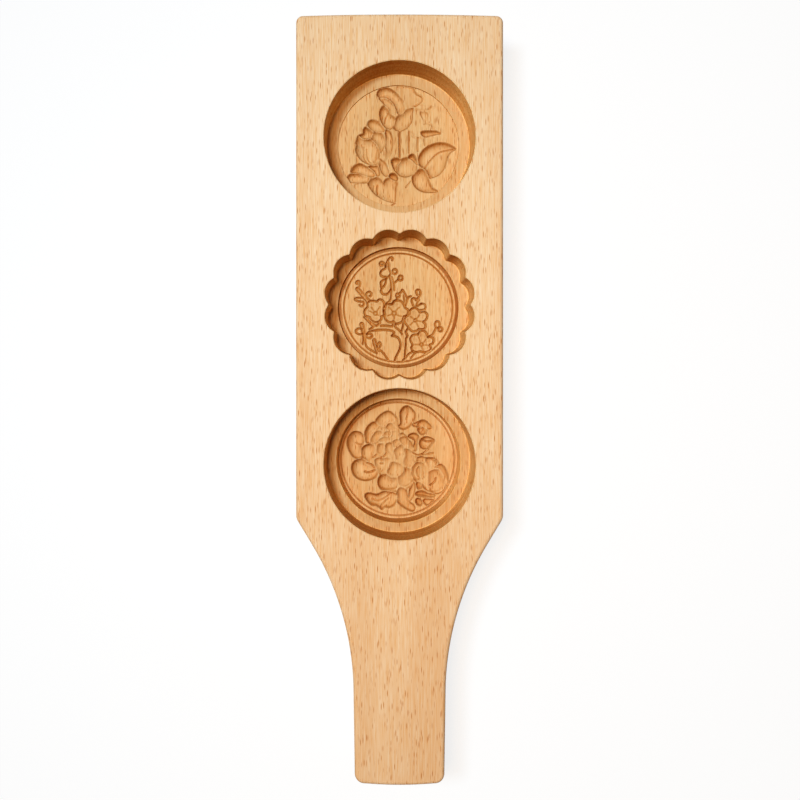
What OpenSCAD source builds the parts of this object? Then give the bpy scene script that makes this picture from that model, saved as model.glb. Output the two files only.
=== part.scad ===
// Wooden maamoul mould: a paddle-shaped board with three hollows in a row.
// Each hollow has a carved flower medallion let into its floor.
// The board lies on its back at z = 0, with the hollows open to +Z and the head towards +Y.

/* [Board] */
// Thickness of the board
board_thickness = 28; // [26:0.5:40]
// Wood left between the head's end and the rim of the first hollow
end_wall = 18.5; // [10:0.5:30]
// Wood left between a hollow and the head's long edges
side_wall = 11; // [8:0.5:20]
// Wood left between the first and the second hollow
upper_gap = 6.5; // [4:0.5:15]
// Wood left between the second and the third hollow
lower_gap = 3; // [2:0.5:15]
// Radius of the round-over on every outer edge
edge_round = 1.6; // [0.5:0.1:2.2]
// Corner radius at the head's end
head_corner = 2.8; // [2.4:0.1:8]
// How far the middle of each end bulges past its corners
end_crown = 0.6; // [0.2:0.1:2]

/* [Shoulders and grip] */
// Distance from the third hollow's centre down to the shoulders
shoulder_drop = 21.5; // [15:0.5:35]
// Angle of the shoulders to the length of the board
shoulder_angle = 31; // [25:1:40]
// Radius where a shoulder leaves the head
shoulder_round = 5; // [3:0.5:12]
// Radius of the hollow curve between shoulder and grip
neck_radius = 115; // [80:1:130]
// Length from the shoulders to the grip's end
grip_length = 105.5; // [100:0.5:140]
// Width of the grip at its end
grip_width = 35.4; // [30:0.1:42]
// Angle by which each side of the grip widens towards the head
grip_taper = 0.86; // [0:0.02:1.5]
// Corner radius at the grip's end
grip_corner = 3.8; // [2.4:0.1:8]

/* [Hollows] */
// Width of each hollow at its rim
hollow_width = 60; // [54:0.5:70]
// Draft of the hollows' walls, so that the dough comes out
wall_draft = 3; // [1:0.5:6]
// Depth of the plain hollow's floor
plain_depth = 12; // [8:0.5:14]
// Depth of the scalloped hollow's floor
scalloped_depth = 12.5; // [8:0.5:14]
// Depth of the stepped hollow's shelf
stepped_depth = 11.5; // [8:0.5:13]
// Number of lobes round the scalloped hollow
lobe_count = 16; // [12:1:20]
// Radius of one lobe at the rim
lobe_radius = 7; // [6:0.25:8]
// Radius that softens the cusps between the lobes
cusp_round = 0.8; // [0.3:0.1:1.5]

/* [Medallions] */
// Width of the plain floor left round a medallion
floor_ring = 5; // [3:0.5:7]
// Thickness of a medallion
medallion_thickness = 5; // [4:0.5:6]
// Clearance for the glue round a medallion
glue_gap = 0.1; // [0.05:0.05:0.3]
// How far the tulip medallion lies below its floor
tulip_sink = 0.5; // [0.1:0.1:2]
// How far the plum blossom medallion lies below its floor
plum_sink = 0.8; // [0.1:0.1:2]
// How far the peony medallion lies below its shelf
peony_sink = 5.5; // [3:0.5:7]
// Width of the border bead
bead_width = 0.9; // [0.5:0.1:1.5]
// Width of the fine groove inside the bead
bead_groove = 0.8; // [0.4:0.1:1.2]
// Depth of the fine groove inside the bead
bead_groove_depth = 0.6; // [0.3:0.1:1]
// Width of the bevel outside the bead
bevel_width = 1.2; // [0.6:0.1:2]
// Depth of the bevel outside the bead
bevel_depth = 1.4; // [0.6:0.1:2.5]
// Small chamfer on the tulip medallion's edge
edge_chamfer = 0.3; // [0.1:0.1:0.8]

/* [Hidden] */
$fn = 64;
// How far a cutter reaches out of the face that it opens
cut_over = 1;
// Flat steps along the outline's arcs and round its edges
crown_steps = 4;
corner_steps = 6;
neck_steps = 16;
round_steps = 4;
lobe_facets = 40;

hollow_r = hollow_width / 2;
head_half = hollow_r + side_wall;
medallion_r = hollow_r - floor_ring - glue_gap;
pocket_r = medallion_r + glue_gap;

// The hollows and the shoulders are set out from the head's end.
plain_at = end_wall + hollow_r;
scalloped_at = plain_at + hollow_width + upper_gap;
stepped_at = scalloped_at + hollow_width + lower_gap;
shoulder_at = stepped_at + shoulder_drop;
board_length = shoulder_at + grip_length;
head_end = board_length / 2;
plain_y = head_end - plain_at;
scalloped_y = head_end - scalloped_at;
stepped_y = head_end - stepped_at;
shoulder_y = head_end - shoulder_at;
grip_half = grip_width / 2;

// Heights of the medallions' flat backs
tulip_z = board_thickness - plain_depth - tulip_sink - medallion_thickness;
plum_z = board_thickness - scalloped_depth - plum_sink - medallion_thickness;
peony_z = board_thickness - stepped_depth - peony_sink - medallion_thickness;

// The carvings are laid out on a medallion of this radius and scaled to fit.
layout_r = 25;
carving_scale = medallion_r / layout_r;

beech = [0.91, 0.72, 0.50];
carved_beech = [0.85, 0.63, 0.40];

// Outline of the board: the left half, from the middle of the head's end to the middle of the grip's end.
// Every stretch is an arc [centre, radius, first angle, last angle, steps, bend], and straight edges join
// the arcs. Bend is 1 where the outline turns outwards round the wood and -1 in the hollow of the neck.

// Slope of a crowned end at its corners, and the radius of its arc, which leaves room for the corners
function crown_slope(half) = atan(2 * end_crown / half);
function crown_radius(half, corner) = (half - 2 * corner) / sin(crown_slope(half));

// Where two lines meet, each given by a point and its angle
function meet(p, a, q, b) =
    let (d = q - p, k = (d.x * sin(b) - d.y * cos(b)) / sin(b - a)) p + k * [cos(a), sin(a)];

// Arc of radius r that rounds the corner at p, where the outline arrives at angle a and leaves at angle b
function corner_arc(p, a, b, r, steps) =
    let (bend = sign(b - a), half = abs(b - a) / 2, mid = (a + b) / 2)
    [p + bend * r / cos(half) * [-sin(mid), cos(mid)], r, a - 90 * bend, b - 90 * bend, steps, bend];

head_slope = crown_slope(head_half);
grip_slope = crown_slope(grip_half);
head_crown = crown_radius(head_half, head_corner);
grip_crown = crown_radius(grip_half, grip_corner);

// Directions of travel down the left side: along the head's end, down the side, in along the shoulder,
// down the grip and along its end
head_end_way = 180 + head_slope;
side_way = 270;
shoulder_way = 270 + shoulder_angle;
grip_way = 270 + grip_taper;
grip_end_way = 360 - grip_slope;

head_crown_centre = [0, head_end - head_crown];
grip_crown_centre = [0, grip_crown - head_end];
head_apex = head_crown_centre + [0, head_crown / cos(head_slope)];
grip_apex = grip_crown_centre - [0, grip_crown / cos(grip_slope)];
head_corner_at = meet(head_apex, head_end_way, [-head_half, 0], side_way);
shoulder_corner_at = [-head_half, shoulder_y];
grip_corner_at = meet(grip_apex, grip_end_way, [-grip_half, -head_end], grip_way);
neck_at = meet(shoulder_corner_at, shoulder_way, grip_corner_at, grip_way);

outline_arcs = [
    [head_crown_centre, head_crown, 90, 90 + head_slope, crown_steps, 1],
    corner_arc(head_corner_at, head_end_way, side_way, head_corner, corner_steps),
    corner_arc(shoulder_corner_at, side_way, shoulder_way, shoulder_round, corner_steps),
    corner_arc(neck_at, shoulder_way, grip_way, neck_radius, neck_steps),
    corner_arc(grip_corner_at, grip_way, grip_end_way, grip_corner, corner_steps),
    [grip_crown_centre, grip_crown, 270 - grip_slope, 270, crown_steps, 1]
];

// The left half of the outline, drawn in by inset
function half_outline(inset) = [
    for (arc = outline_arcs, i = [0 : arc[4]])
        let (a = arc[2] + (arc[3] - arc[2]) * i / arc[4])
        arc[0] + (arc[1] - arc[5] * inset) * [cos(a), sin(a)]
];

// The whole outline: the left half and its mirror image, which share the two points on the middle line
function outline(inset) =
    let (left = half_outline(inset), last = len(left) - 1)
    concat(left, [for (i = [last - 1 : -1 : 1]) [-left[i].x, left[i].y]]);

// Loft of the outline through the rounded lower edge, the straight sides and the rounded upper edge
module board_blank() {
    quarter = [for (i = [0 : round_steps]) 90 * i / round_steps];
    lower = [for (a = quarter) [edge_round * (1 - sin(a)), edge_round * (1 - cos(a))]];
    upper = [for (i = [round_steps : -1 : 0]) [lower[i][0], board_thickness - lower[i][1]]];
    levels = concat(lower, upper);
    count = len(outline(0));
    half = count / 2;
    top = (len(levels) - 1) * count;
    points = [for (level = levels, p = outline(level[0])) [p.x, p.y, level[1]]];
    sides = [
        for (j = [0 : len(levels) - 2], i = [0 : count - 1])
            let (a = j * count + i, b = j * count + (i + 1) % count)
            each [[a, a + count, b], [b, a + count, b + count]]
    ];
    rungs = [
        for (k = [0 : half - 1])
            let (near = [k, (count - k) % count], far = [k + 1, count - k - 1])
            each [if (k < half - 1) [near[0], far[0], far[1]], if (k > 0) [near[0], far[1], near[1]]]
    ];
    back = rungs;
    face = [for (t = rungs) [t[0] + top, t[2] + top, t[1] + top]];
    polyhedron(points, concat(sides, back, face));
}

// Hollow with drafted walls, open at z = 0
module tapered_cut(r, depth) {
    spread = tan(wall_draft);
    translate([0, 0, -depth])
        cylinder(h = depth + cut_over, r1 = r - depth * spread, r2 = r + cut_over * spread);
}

// Ring of lobes with softened cusps, one cusp on each axis
module scalloped_outline(r) {
    pitch = 360 / lobe_count;
    ring_r = r - lobe_radius;
    offset(r = -cusp_round)
        offset(delta = cusp_round) {
            circle(ring_r);
            for (i = [0 : lobe_count - 1])
                rotate((i + 0.5) * pitch)
                    translate([ring_r, 0]) circle(lobe_radius, $fn = lobe_facets);
        }
}

// Hollow with drafted walls round the ring of lobes, open at z = 0
module scalloped_cut(r, depth) {
    spread = tan(wall_draft) / r;
    floor_scale = 1 - depth * spread;
    mouth_scale = 1 + cut_over * spread;
    translate([0, 0, -depth])
        linear_extrude(height = depth + cut_over, scale = mouth_scale / floor_scale)
            scale(floor_scale) scalloped_outline(r);
}

// Pocket for a medallion, from its back at height z up into the hollow
module pocket(z, hollow_depth) {
    translate([0, 0, z])
        cylinder(h = board_thickness - hollow_depth - z + cut_over, r = pocket_r);
}

// Inner step of the stepped hollow, from its shelf down to the medallion's face
module step_cut() {
    depth = stepped_depth + peony_sink;
    translate([0, 0, board_thickness - depth])
        cylinder(
            h = peony_sink + cut_over,
            r1 = pocket_r,
            r2 = pocket_r + (peony_sink + cut_over) * tan(2 * wall_draft)
        );
}

module mould_board() {
    color(beech)
        difference() {
            board_blank();
            translate([0, plain_y, 0]) {
                translate([0, 0, board_thickness]) tapered_cut(hollow_r, plain_depth);
                pocket(tulip_z, plain_depth);
            }
            translate([0, scalloped_y, 0]) {
                translate([0, 0, board_thickness]) scalloped_cut(hollow_r, scalloped_depth);
                pocket(plum_z, scalloped_depth);
            }
            translate([0, stepped_y, 0]) {
                translate([0, 0, board_thickness]) tapered_cut(hollow_r, stepped_depth);
                step_cut();
                pocket(peony_z, stepped_depth + peony_sink);
            }
        }
}

// Round blank of a medallion with a chamfered edge
module plain_blank() {
    rotate_extrude()
        polygon([
            [0, 0],
            [medallion_r, 0],
            [medallion_r, medallion_thickness - edge_chamfer],
            [medallion_r - edge_chamfer, medallion_thickness],
            [0, medallion_thickness]
        ]);
}

// Round blank of a medallion with a bevel, a border bead and a fine groove round its face
module beaded_blank() {
    bead_r = medallion_r - bevel_width;
    groove_r = bead_r - bead_width;
    rotate_extrude()
        polygon([
            [0, 0],
            [medallion_r, 0],
            [medallion_r, medallion_thickness - bevel_depth],
            [bead_r, medallion_thickness],
            [groove_r, medallion_thickness],
            [groove_r - bead_groove / 2, medallion_thickness - bead_groove_depth],
            [groove_r - bead_groove, medallion_thickness],
            [0, medallion_thickness]
        ]);
}

// One stroke of a round gouge along X, which dips into the face at z = 0 and leaves it again
module gouge(length, width, depth) {
    blade_r = (width * width / 4 + depth * depth) / (2 * depth);
    swing_r = (length * length / 4 + depth * depth) / (2 * depth);
    round_r = (length * width / 4 + depth * depth) / (2 * depth);
    if (swing_r > 2.1 * blade_r)
        translate([0, 0, swing_r - depth])
            rotate([90, 0, 0])
                rotate_extrude()
                    translate([swing_r - blade_r, 0]) circle(blade_r);
    else
        translate([0, 0, round_r - depth]) sphere(round_r);
}

// Carves strokes 0 to last of a list into a blank, one after another.
// A stroke is [x, y, turn, length, width, depth].
module carve(strokes, last) {
    if (last < 0)
        children();
    else
        difference() {
            carve(strokes, last - 1) children();
            stroke = strokes[last];
            translate([0, 0, medallion_thickness])
                scale(carving_scale)
                    translate([stroke[0], stroke[1], 0])
                        rotate(stroke[2])
                            gouge(stroke[3], stroke[4], stroke[5]);
        }
}

tulip_strokes = [
    // open tulip at the top
    [-3.7, 19.6, -34, 11, 6.2, 1.5],
    [4.2, 20, 15, 11, 6.6, 1.4],
    [-4.9, 12.2, -69, 10.5, 5.4, 1.5],
    [1.9, 11.4, 49, 11, 6, 1.6],
    [8.4, 13.2, 105, 8, 4.4, 1],
    // its stalks and the small leaf beside them
    [-0.7, 1.6, 90, 12, 2.5, 0.8],
    [3, 1.8, 90, 12, 2.9, 0.8],
    [6.6, 2, 90, 10, 2.1, 0.6],
    [13.6, 5.5, -3, 8.5, 2.3, 0.8],
    // closed tulip at the left
    [-9.5, 8.8, -35, 8, 4.2, 1.2],
    [-13.4, -0.8, -68, 12, 6.6, 1.6],
    [-8.8, 1.8, -82, 10.5, 5, 1.4],
    [-4.9, 0.4, 93, 13, 2.9, 1.1],
    [-6.1, -8.9, -65, 7, 2.4, 0.8],
    // two leaves at the left
    [-13.6, -9.6, -14, 10, 3.8, 1.2],
    [-16, -13.4, -4, 9, 3.9, 1.2],
    // heart-shaped leaf at the bottom
    [-9.2, -16.4, -55, 8, 4.8, 1.3],
    [-3.7, -14.6, 62, 7.6, 4.6, 1.3],
    [-5, -19.4, -28, 9, 4.6, 1.2],
    // bud with three lobes
    [-0.7, -7.4, -62, 6, 3.4, 1.2],
    [3, -6.5, 88, 6, 3.3, 1.2],
    [6.3, -5.3, 62, 6, 3.2, 1.1],
    [2.6, -10.6, 2, 8, 3.9, 1.2],
    // long leaf at the right, one stroke on each side of its rib
    [14.6, -3.5, 35, 15, 4.3, 1.4],
    [16.6, -7.4, 28, 14, 4.5, 1.4],
    // round leaf with a tail
    [9.6, -13.8, -42, 8.8, 5.7, 1.5],
    [13.7, -17.3, -40, 8, 2.4, 0.9]
];

module tulip_medallion() {
    color(carved_beech)
        translate([0, plain_y, tulip_z])
            carve(tulip_strokes, len(tulip_strokes) - 1)
                plain_blank();
}

// Blossom at b = [x, y, turn]: a ring of petals round a deeper eye
petal_count = 5;
petal_ring = 2.6;
petal_size = 3.7;
petal_depth = 0.8;
eye_size = 2.2;
eye_depth = 1;
function blossom(b) = concat(
    [for (i = [0 : petal_count - 1])
        let (a = b[2] + i * 360 / petal_count)
        [b[0] + petal_ring * cos(a), b[1] + petal_ring * sin(a), a, petal_size, petal_size, petal_depth]],
    [[b[0], b[1], 0, eye_size, eye_size, eye_depth]]
);

blossoms = [[-9.6, -1.4, 12], [-1, -1.9, 90], [7.5, -5, 60], [9.9, -13.9, 100]];

twig_strokes = [
    // trunk and main bough
    [2.2, -17.4, 78, 9.5, 2.4, 1.1],
    [1.7, -11.6, 105, 8, 2.2, 1.1],
    [-3.6, -8.8, -8, 9, 1.5, 0.9],
    [-9.2, -8.2, 14, 6.5, 1.2, 0.8],
    // upright spray with its buds
    [-2.9, 6, 98, 9, 1.2, 0.8],
    [-3.7, 14, 92, 9, 1.1, 0.7],
    [-3.5, 19, 60, 4, 1, 0.6],
    [-5.3, 8.4, 70, 5, 2.6, 0.8],
    [-6.2, 14.2, -30, 4, 2, 0.7],
    [-6.5, 18, -20, 3.4, 1.6, 0.6],
    [-1.5, 15.2, 0, 2, 2, 0.7],
    [0.9, 12.2, 0, 2, 2, 0.7],
    // spray at the left
    [-14.8, 6, 130, 9, 1.1, 0.7],
    [-16.6, 10, 60, 3, 1.8, 0.6],
    [-16.3, 3, -20, 3.4, 2.2, 0.7],
    [-11.8, 5.2, 40, 3, 1.6, 0.6],
    // sprigs above the blossoms
    [0.2, 5, 0, 2, 2, 0.6],
    [2.6, 5.2, 110, 4.6, 1.6, 0.7],
    [7.2, 3.4, 60, 5, 1.4, 0.7],
    [8.3, 6.6, 80, 3, 1.6, 0.6],
    // sprigs at the bottom left
    [-9.4, -16.4, 128, 9, 1.1, 0.7],
    [-10.4, -18.2, -30, 10, 1.1, 0.7],
    [-15.4, -11.4, 108, 7, 1.1, 0.7],
    [-16.9, -9.6, 20, 3, 1.8, 0.6],
    [-12.2, -11.2, 0, 2.2, 2.2, 0.7],
    // sprig at the right and the bottom bough
    [15.2, -9, 60, 6, 1.1, 0.7],
    [17, -7, 100, 3, 2, 0.7],
    [17.8, -8.6, 30, 2.6, 1.6, 0.6],
    [7, -19.4, 30, 9, 1.4, 0.8]
];

plum_strokes = concat(twig_strokes, [for (b = blossoms) each blossom(b)]);

module plum_blossom_medallion() {
    color(carved_beech)
        translate([0, scalloped_y, plum_z])
            carve(plum_strokes, len(plum_strokes) - 1)
                beaded_blank();
}

peony_strokes = [
    // outer petals of the large flower, clockwise from the left
    [-17.4, 5.8, -74, 11, 6.2, 1.5],
    [-10.4, 10.6, 62, 9.4, 5.6, 1.4],
    [-4.3, 15.8, 8, 9.4, 5.6, 1.5],
    [3.9, 6.4, 150, 7.6, 4.4, 1.2],
    [4.8, 0.2, 108, 8, 4.6, 1.3],
    [3.3, -8.2, 96, 7.6, 5, 1.4],
    [-4.4, -10, 0, 8, 6.2, 1.5],
    [-13.2, -5.4, -20, 11.6, 7.6, 1.6],
    // inner petals
    [-3.6, 11.8, -5, 7.4, 4.2, 1.2],
    [-7.2, 8.4, 30, 6.4, 4, 1.2],
    [-12, 2.8, -20, 7, 5.4, 1.4],
    [-6.6, 3.8, 85, 6, 4.4, 1.3],
    [-1.2, 4.6, 60, 7, 4.4, 1.3],
    [-6, -3.2, 5, 7.4, 4.6, 1.3],
    [-0.8, -4.6, 80, 7.6, 4.4, 1.3],
    // bud and leaves at the upper right
    [4.5, 17.8, 97, 9, 5.4, 1.4],
    [5.4, 12.2, -10, 6, 3, 1],
    [11.3, 13, 20, 6.6, 3.6, 1.1],
    [12.2, 6.2, 48, 7, 4, 1.2],
    [7.6, 8.2, 110, 6, 2.6, 0.9],
    // small flower at the right
    [9.6, -5.8, 70, 8.4, 5.4, 1.4],
    [12.4, -1.6, 0, 7.6, 3.6, 1.2],
    [16.6, -9.2, 40, 8.6, 6, 1.4],
    [17.6, -4.4, -50, 6, 3.2, 1],
    [12.2, -11.2, -15, 6, 3.6, 1.1],
    // stalk and lower leaves
    [3.8, -16.8, -68, 10, 4.4, 1.3],
    [-6.8, -17, -4, 13.4, 5.2, 1.3],
    [11.4, -16.6, 14, 9, 4.2, 1.1]
];

module peony_medallion() {
    color(carved_beech)
        translate([0, stepped_y, peony_z])
            carve(peony_strokes, len(peony_strokes) - 1)
                beaded_blank();
}

mould_board();
tulip_medallion();
plum_blossom_medallion();
peony_medallion();
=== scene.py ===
"""Dresses a wooden maamoul mould: the paddle board, its three carved medallions and a plain studio."""

import math

import bpy
import numpy as np
from bpy.props import FloatProperty, FloatVectorProperty, IntProperty, PointerProperty
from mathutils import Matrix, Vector
from mathutils.geometry import tessellate_polygon


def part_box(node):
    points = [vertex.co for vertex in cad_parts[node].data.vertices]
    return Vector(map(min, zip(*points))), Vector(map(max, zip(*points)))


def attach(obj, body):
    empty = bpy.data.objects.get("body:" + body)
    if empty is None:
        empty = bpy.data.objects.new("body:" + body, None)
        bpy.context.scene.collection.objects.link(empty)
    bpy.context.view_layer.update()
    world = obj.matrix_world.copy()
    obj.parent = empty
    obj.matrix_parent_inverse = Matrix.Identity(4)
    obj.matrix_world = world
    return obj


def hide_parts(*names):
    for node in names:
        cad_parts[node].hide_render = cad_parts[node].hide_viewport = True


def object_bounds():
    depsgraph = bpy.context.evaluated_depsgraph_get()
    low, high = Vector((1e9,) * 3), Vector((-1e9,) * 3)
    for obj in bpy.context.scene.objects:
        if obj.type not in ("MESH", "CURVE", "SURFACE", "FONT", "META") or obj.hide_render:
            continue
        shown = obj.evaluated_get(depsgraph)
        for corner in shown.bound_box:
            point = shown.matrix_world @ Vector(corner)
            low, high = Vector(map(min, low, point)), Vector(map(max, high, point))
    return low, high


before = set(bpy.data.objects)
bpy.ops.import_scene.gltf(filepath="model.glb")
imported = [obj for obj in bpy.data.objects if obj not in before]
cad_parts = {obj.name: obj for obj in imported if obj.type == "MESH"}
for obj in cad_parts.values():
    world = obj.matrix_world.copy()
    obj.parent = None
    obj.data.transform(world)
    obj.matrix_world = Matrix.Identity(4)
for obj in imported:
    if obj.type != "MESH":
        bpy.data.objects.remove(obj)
CAD_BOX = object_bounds()

bl_info = {
    "name": "Maamoul mould",
    "version": (1, 0, 0),
    "blender": (4, 5, 0),
    "location": "View3D > Sidebar > Mould",
    "description": "Builds a carved wooden maamoul mould on its packed frame",
    "category": "Object",
}

MM = 0.001
BOARD_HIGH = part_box("mould_board")[1]
TULIP_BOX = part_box("tulip_medallion")
PLUM_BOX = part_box("plum_blossom_medallion")
PEONY_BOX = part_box("peony_medallion")
FACE = BOARD_HIGH[2]

# The carvings are laid out in millimetres on a medallion of this radius and scaled to fit. Their depths are
# multiplied by the depth in the carving's settings.
LAYOUT_R = 25.0

# A scoop is a hollow petal or leaf: its depth, how far in from its edge it comes close to that depth, the
# points that its outline curves through and, for some, the way in degrees in which it runs out.
# A line is a narrow groove: its width, its depth and the points that it curves through.
TULIP_SCOOPS = (
    (0.6, 1.6, ((-1.1, 23.6), (-0.1, 25), (0.2, 25.3), (3.5, 24.9), (6, 24.6), (6.9, 22.8), (7.9, 21.5),
        (9.7, 20.5), (9.9, 18.9), (8.8, 17.8), (6.9, 16.7), (4, 15.7), (1.9, 14.3), (2.3, 14.3)), 170),
    (1, 1.6, ((-8, 20), (-5.8, 20.4), (-2.8, 18.2), (-1.1, 15.2), (-0.8, 12.8), (-3.2, 13.5), (-3.9, 15.5),
        (-5.8, 17.2), (-7, 18.7)), -45),
    (1.4, 2, ((-8.8, 20.9), (-8.6, 22.8), (-6.8, 24.2), (-4.4, 24.3), (-1.6, 22.8), (1.1, 20.1), (2.5, 17),
        (2.3, 14.3), (-0.1, 13.3), (-1.1, 15.6), (-2.5, 18.2), (-5.1, 20.1), (-7.3, 20.1))),
    (1.4, 2, ((-7.9, 13.5), (-7.2, 16), (-5.8, 16.9), (-4.3, 15.8), (-3.5, 13.8), (-1.3, 11.6), (-1.8, 8.9),
        (-3.2, 7), (-5.8, 8.1), (-7.3, 10.6))),
    (1.3, 2.2, ((-2, 8.1), (-1.1, 11.6), (1.3, 13.8), (1.6, 14), (3.5, 15.6), (6.2, 16.1), (6, 13.3),
        (5.7, 10.3), (4.3, 8.1), (2.1, 6.5), (0.8, 6.3), (-1.1, 6.6))),
    (0.5, 1, ((9, 14), (10.2, 10.8), (10.8, 9.5), (12.8, 10), (12.5, 12.5), (11.6, 14.3)), -60),
    (1.1, 1.2, ((9.3, 5.7), (10.2, 6.4), (13.1, 6.5), (15.5, 6.5), (16.9, 5.9), (17.8, 5.1), (15.9, 4.8),
        (14, 4.4), (11.6, 3.8), (10, 4.2))),
    (1, 1.6, ((-12.9, 9.1), (-12.3, 10.5), (-10.6, 11.1), (-8.7, 10.5), (-7, 8.9), (-5.5, 6.4), (-7.3, 5.8),
        (-9.4, 6), (-10.9, 6.4), (-12.3, 7.9))),
    (1.4, 1.2, ((-16.3, 4.6), (-14.7, 5.4), (-14.5, 6.9), (-13.7, 8.1), (-12.3, 7.4), (-10.6, 6),
        (-10.6, 4.2), (-13.7, 3))),
    (1, 1.6, ((-5.3, 6.7), (-3.7, 6.7), (-2.5, 4), (-2.2, 0.4), (-2.8, -2.8), (-4.2, -6), (-5.1, -6.5),
        (-5.3, -4.1), (-5, -2.1), (-5.5, 0.4), (-5.3, 3.3)), -90),
    (1.2, 1.8, ((-11, 5.3), (-9.2, 6.2), (-7.3, 5.7), (-5.8, 4), (-5.4, 2.3), (-5.8, -0.4), (-7.3, -2.8),
        (-8, -0.9), (-9.7, 1.6), (-11.1, 2.8), (-11.4, 4.3))),
    (1.5, 2.6, ((-16.7, 4.5), (-17.7, 1.6), (-17.4, 0.6), (-17.8, -1.4), (-17, -3.8), (-15.4, -5.8),
        (-13, -7.3), (-10.6, -7.8), (-8.6, -7.3), (-7.9, -5), (-7.7, -2.6), (-8.2, -0.4), (-9.7, 1.6),
        (-11.3, 2.8), (-14, 3), (-15.6, 3.9))),
    (0.9, 1.4, ((-8, -5), (-6.3, -6), (-5.1, -7), (-3.8, -11.2), (-5.1, -12.6), (-7, -10.9), (-8, -8))),
    (1.2, 1.2, ((-12.5, -8.5), (-10.6, -7.7), (-8.7, -8), (-7.8, -10), (-7.6, -11.9), (-8.9, -12.3),
        (-10.1, -10.4), (-11.6, -9.2))),
    (1.3, 1.8, ((-19.8, -10.7), (-19, -8.7), (-17.3, -7.3), (-15.4, -7.1), (-13.7, -8), (-12, -9),
        (-10.4, -10.4), (-9.3, -11.9), (-11.1, -12.8), (-14.2, -12.2), (-16.3, -11.3), (-18.2, -11.1))),
    (1.3, 1.8, ((-21.5, -14.1), (-20.9, -12.2), (-19.2, -11.2), (-16.8, -11.3), (-14.2, -11.9), (-12, -12.9),
        (-12.3, -14), (-13, -15.1), (-15.4, -15.3), (-17.8, -15.2), (-20.1, -15.1))),
    (1.5, 1.2, ((-4.1, -11.9), (-2.3, -11.1), (-0.6, -11.9), (-0.2, -13.9), (-1.6, -14.2), (-3, -13.4))),
    (1.3, 2.4, ((-12.7, -15.3), (-11.9, -14), (-10.6, -13), (-8.5, -12.8), (-6.8, -14.2), (-6.3, -15.1),
        (-5.6, -13.9), (-3.7, -13), (-1.6, -13.9), (-0.6, -15.1), (-0.8, -18), (-1, -21.2), (-1.4, -23.2),
        (-4.2, -23), (-7.5, -21.5), (-10.4, -19.3), (-12, -17.1))),
    (1.5, 1.2, ((4.1, -4.7), (4.7, -3.5), (5.9, -3.1), (7.1, -4.1), (7.9, -6), (8.1, -7.6), (7.1, -7.3),
        (5.9, -6))),
    (1.4, 1.6, ((-3, -6.5), (-2.4, -5.2), (-0.6, -4.8), (1.1, -5.4), (2.4, -6.8), (2, -9), (0.8, -11.2),
        (-0.4, -11.3), (-1.9, -9.5))),
    (1.3, 2.2, ((-0.5, -7.5), (1, -5.5), (3.1, -4.6), (5, -4.9), (6.6, -6.3), (7.7, -8), (7.5, -10.2),
        (5.7, -12), (3.3, -12.8), (0.9, -12.4), (-0.8, -10.9), (-1.2, -9.2))),
    (1.5, 2, ((8.1, -5.3), (9.5, -2.3), (11.6, -0.3), (14.5, 1.1), (17.8, 1.6), (20.7, 1), (23.9, -1),
        (21.6, -2.8), (20.3, -5.8), (19.3, -9), (17.1, -11.7), (14.5, -13), (12.8, -13.2), (12.1, -11.4),
        (10.7, -9.2), (8.8, -8))),
    (1.5, 2.2, ((5.6, -13.1), (6.4, -11.2), (8.1, -9.7), (10, -9.5), (11.6, -10.7), (12.4, -12.6),
        (13.1, -14.9), (14.3, -17.1), (16.6, -18.7), (14.3, -19.2), (12.1, -19.2), (9.5, -18.7),
        (7.1, -17.1), (5.9, -15.1))),
)

TULIP_LINES = (
    (0.6, 0.35, ((11, -9.2), (12.1, -7), (14, -4.6), (15.9, -2.7), (18.5, -1.4), (22.6, -0.9))),
    (0.6, 0.24, ((-14.1, 0.4), (-14.2, -2.1), (-14, -4.6), (-12.5, -6.8))),
    (0.6, 0.24, ((-13.1, -0.4), (-13, -2.8), (-12.4, -5), (-11.4, -6.3))),
    (0.6, 0.24, ((-8.8, -1.1), (-9.2, -3.3), (-9.7, -6))),
    (0.6, 0.32, ((-8.5, -15.6), (-8.8, -17.6), (-8.6, -19.5))),
    (0.6, 0.21, ((-10.1, -15.8), (-10.3, -18.3))),
    (0.6, 0.28, ((-3.7, 14.5), (-5.1, 12.5), (-5.5, 10.1))),
    (0.6, 0.28, ((-17.2, -3.8), (-17.2, -7))),
    (0.6, 0.28, ((3.1, -17.1), (5.3, -14.4))),
    (1, 0.18, ((5.9, 15), (8.1, 15.2), (10.2, 14.9), (12.1, 15.2), (13.8, 16.5))),
    (1, 0.16, ((7, 16.6), (8.3, 17.5), (10, 17.1))),
    (1, 0.16, ((10.7, 9.2), (12.4, 9.5), (14, 8.5), (14.5, 6.8))),
    (1, 0.16, ((5.4, 6), (5.3, 5.1), (6.2, 3.9), (8.3, 3.5), (10.2, 3.6))),
    (0.6, 0.35, ((-2.5, -24.4), (-1.3, -23.6))),
    (0.6, 0.28, ((-18, -17.1), (-17.8, -16), (-16.8, -15.3))),
    (0.8, 0.65, ((0.6, 6.4), (0.5, 3), (0.5, 0), (0.6, -4.4))),
    (0.8, 0.4, ((4.5, 6), (4.4, 2), (4.5, -2.8))),
    (0.8, 0.4, ((8.1, 3.4), (8, 0.6), (8.1, -2))),
    (0.8, 0.3, ((11, 3.7), (10.9, 1.8), (11, 0.4))),
    (1, 0.18, ((-0.1, 24.6), (3.5, 24.6), (6, 24.2), (6.6, 22.6), (7.9, 21.5), (9.7, 20.5), (9.9, 18.9),
        (8.8, 17.8), (6.9, 16.7))),
)

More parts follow.
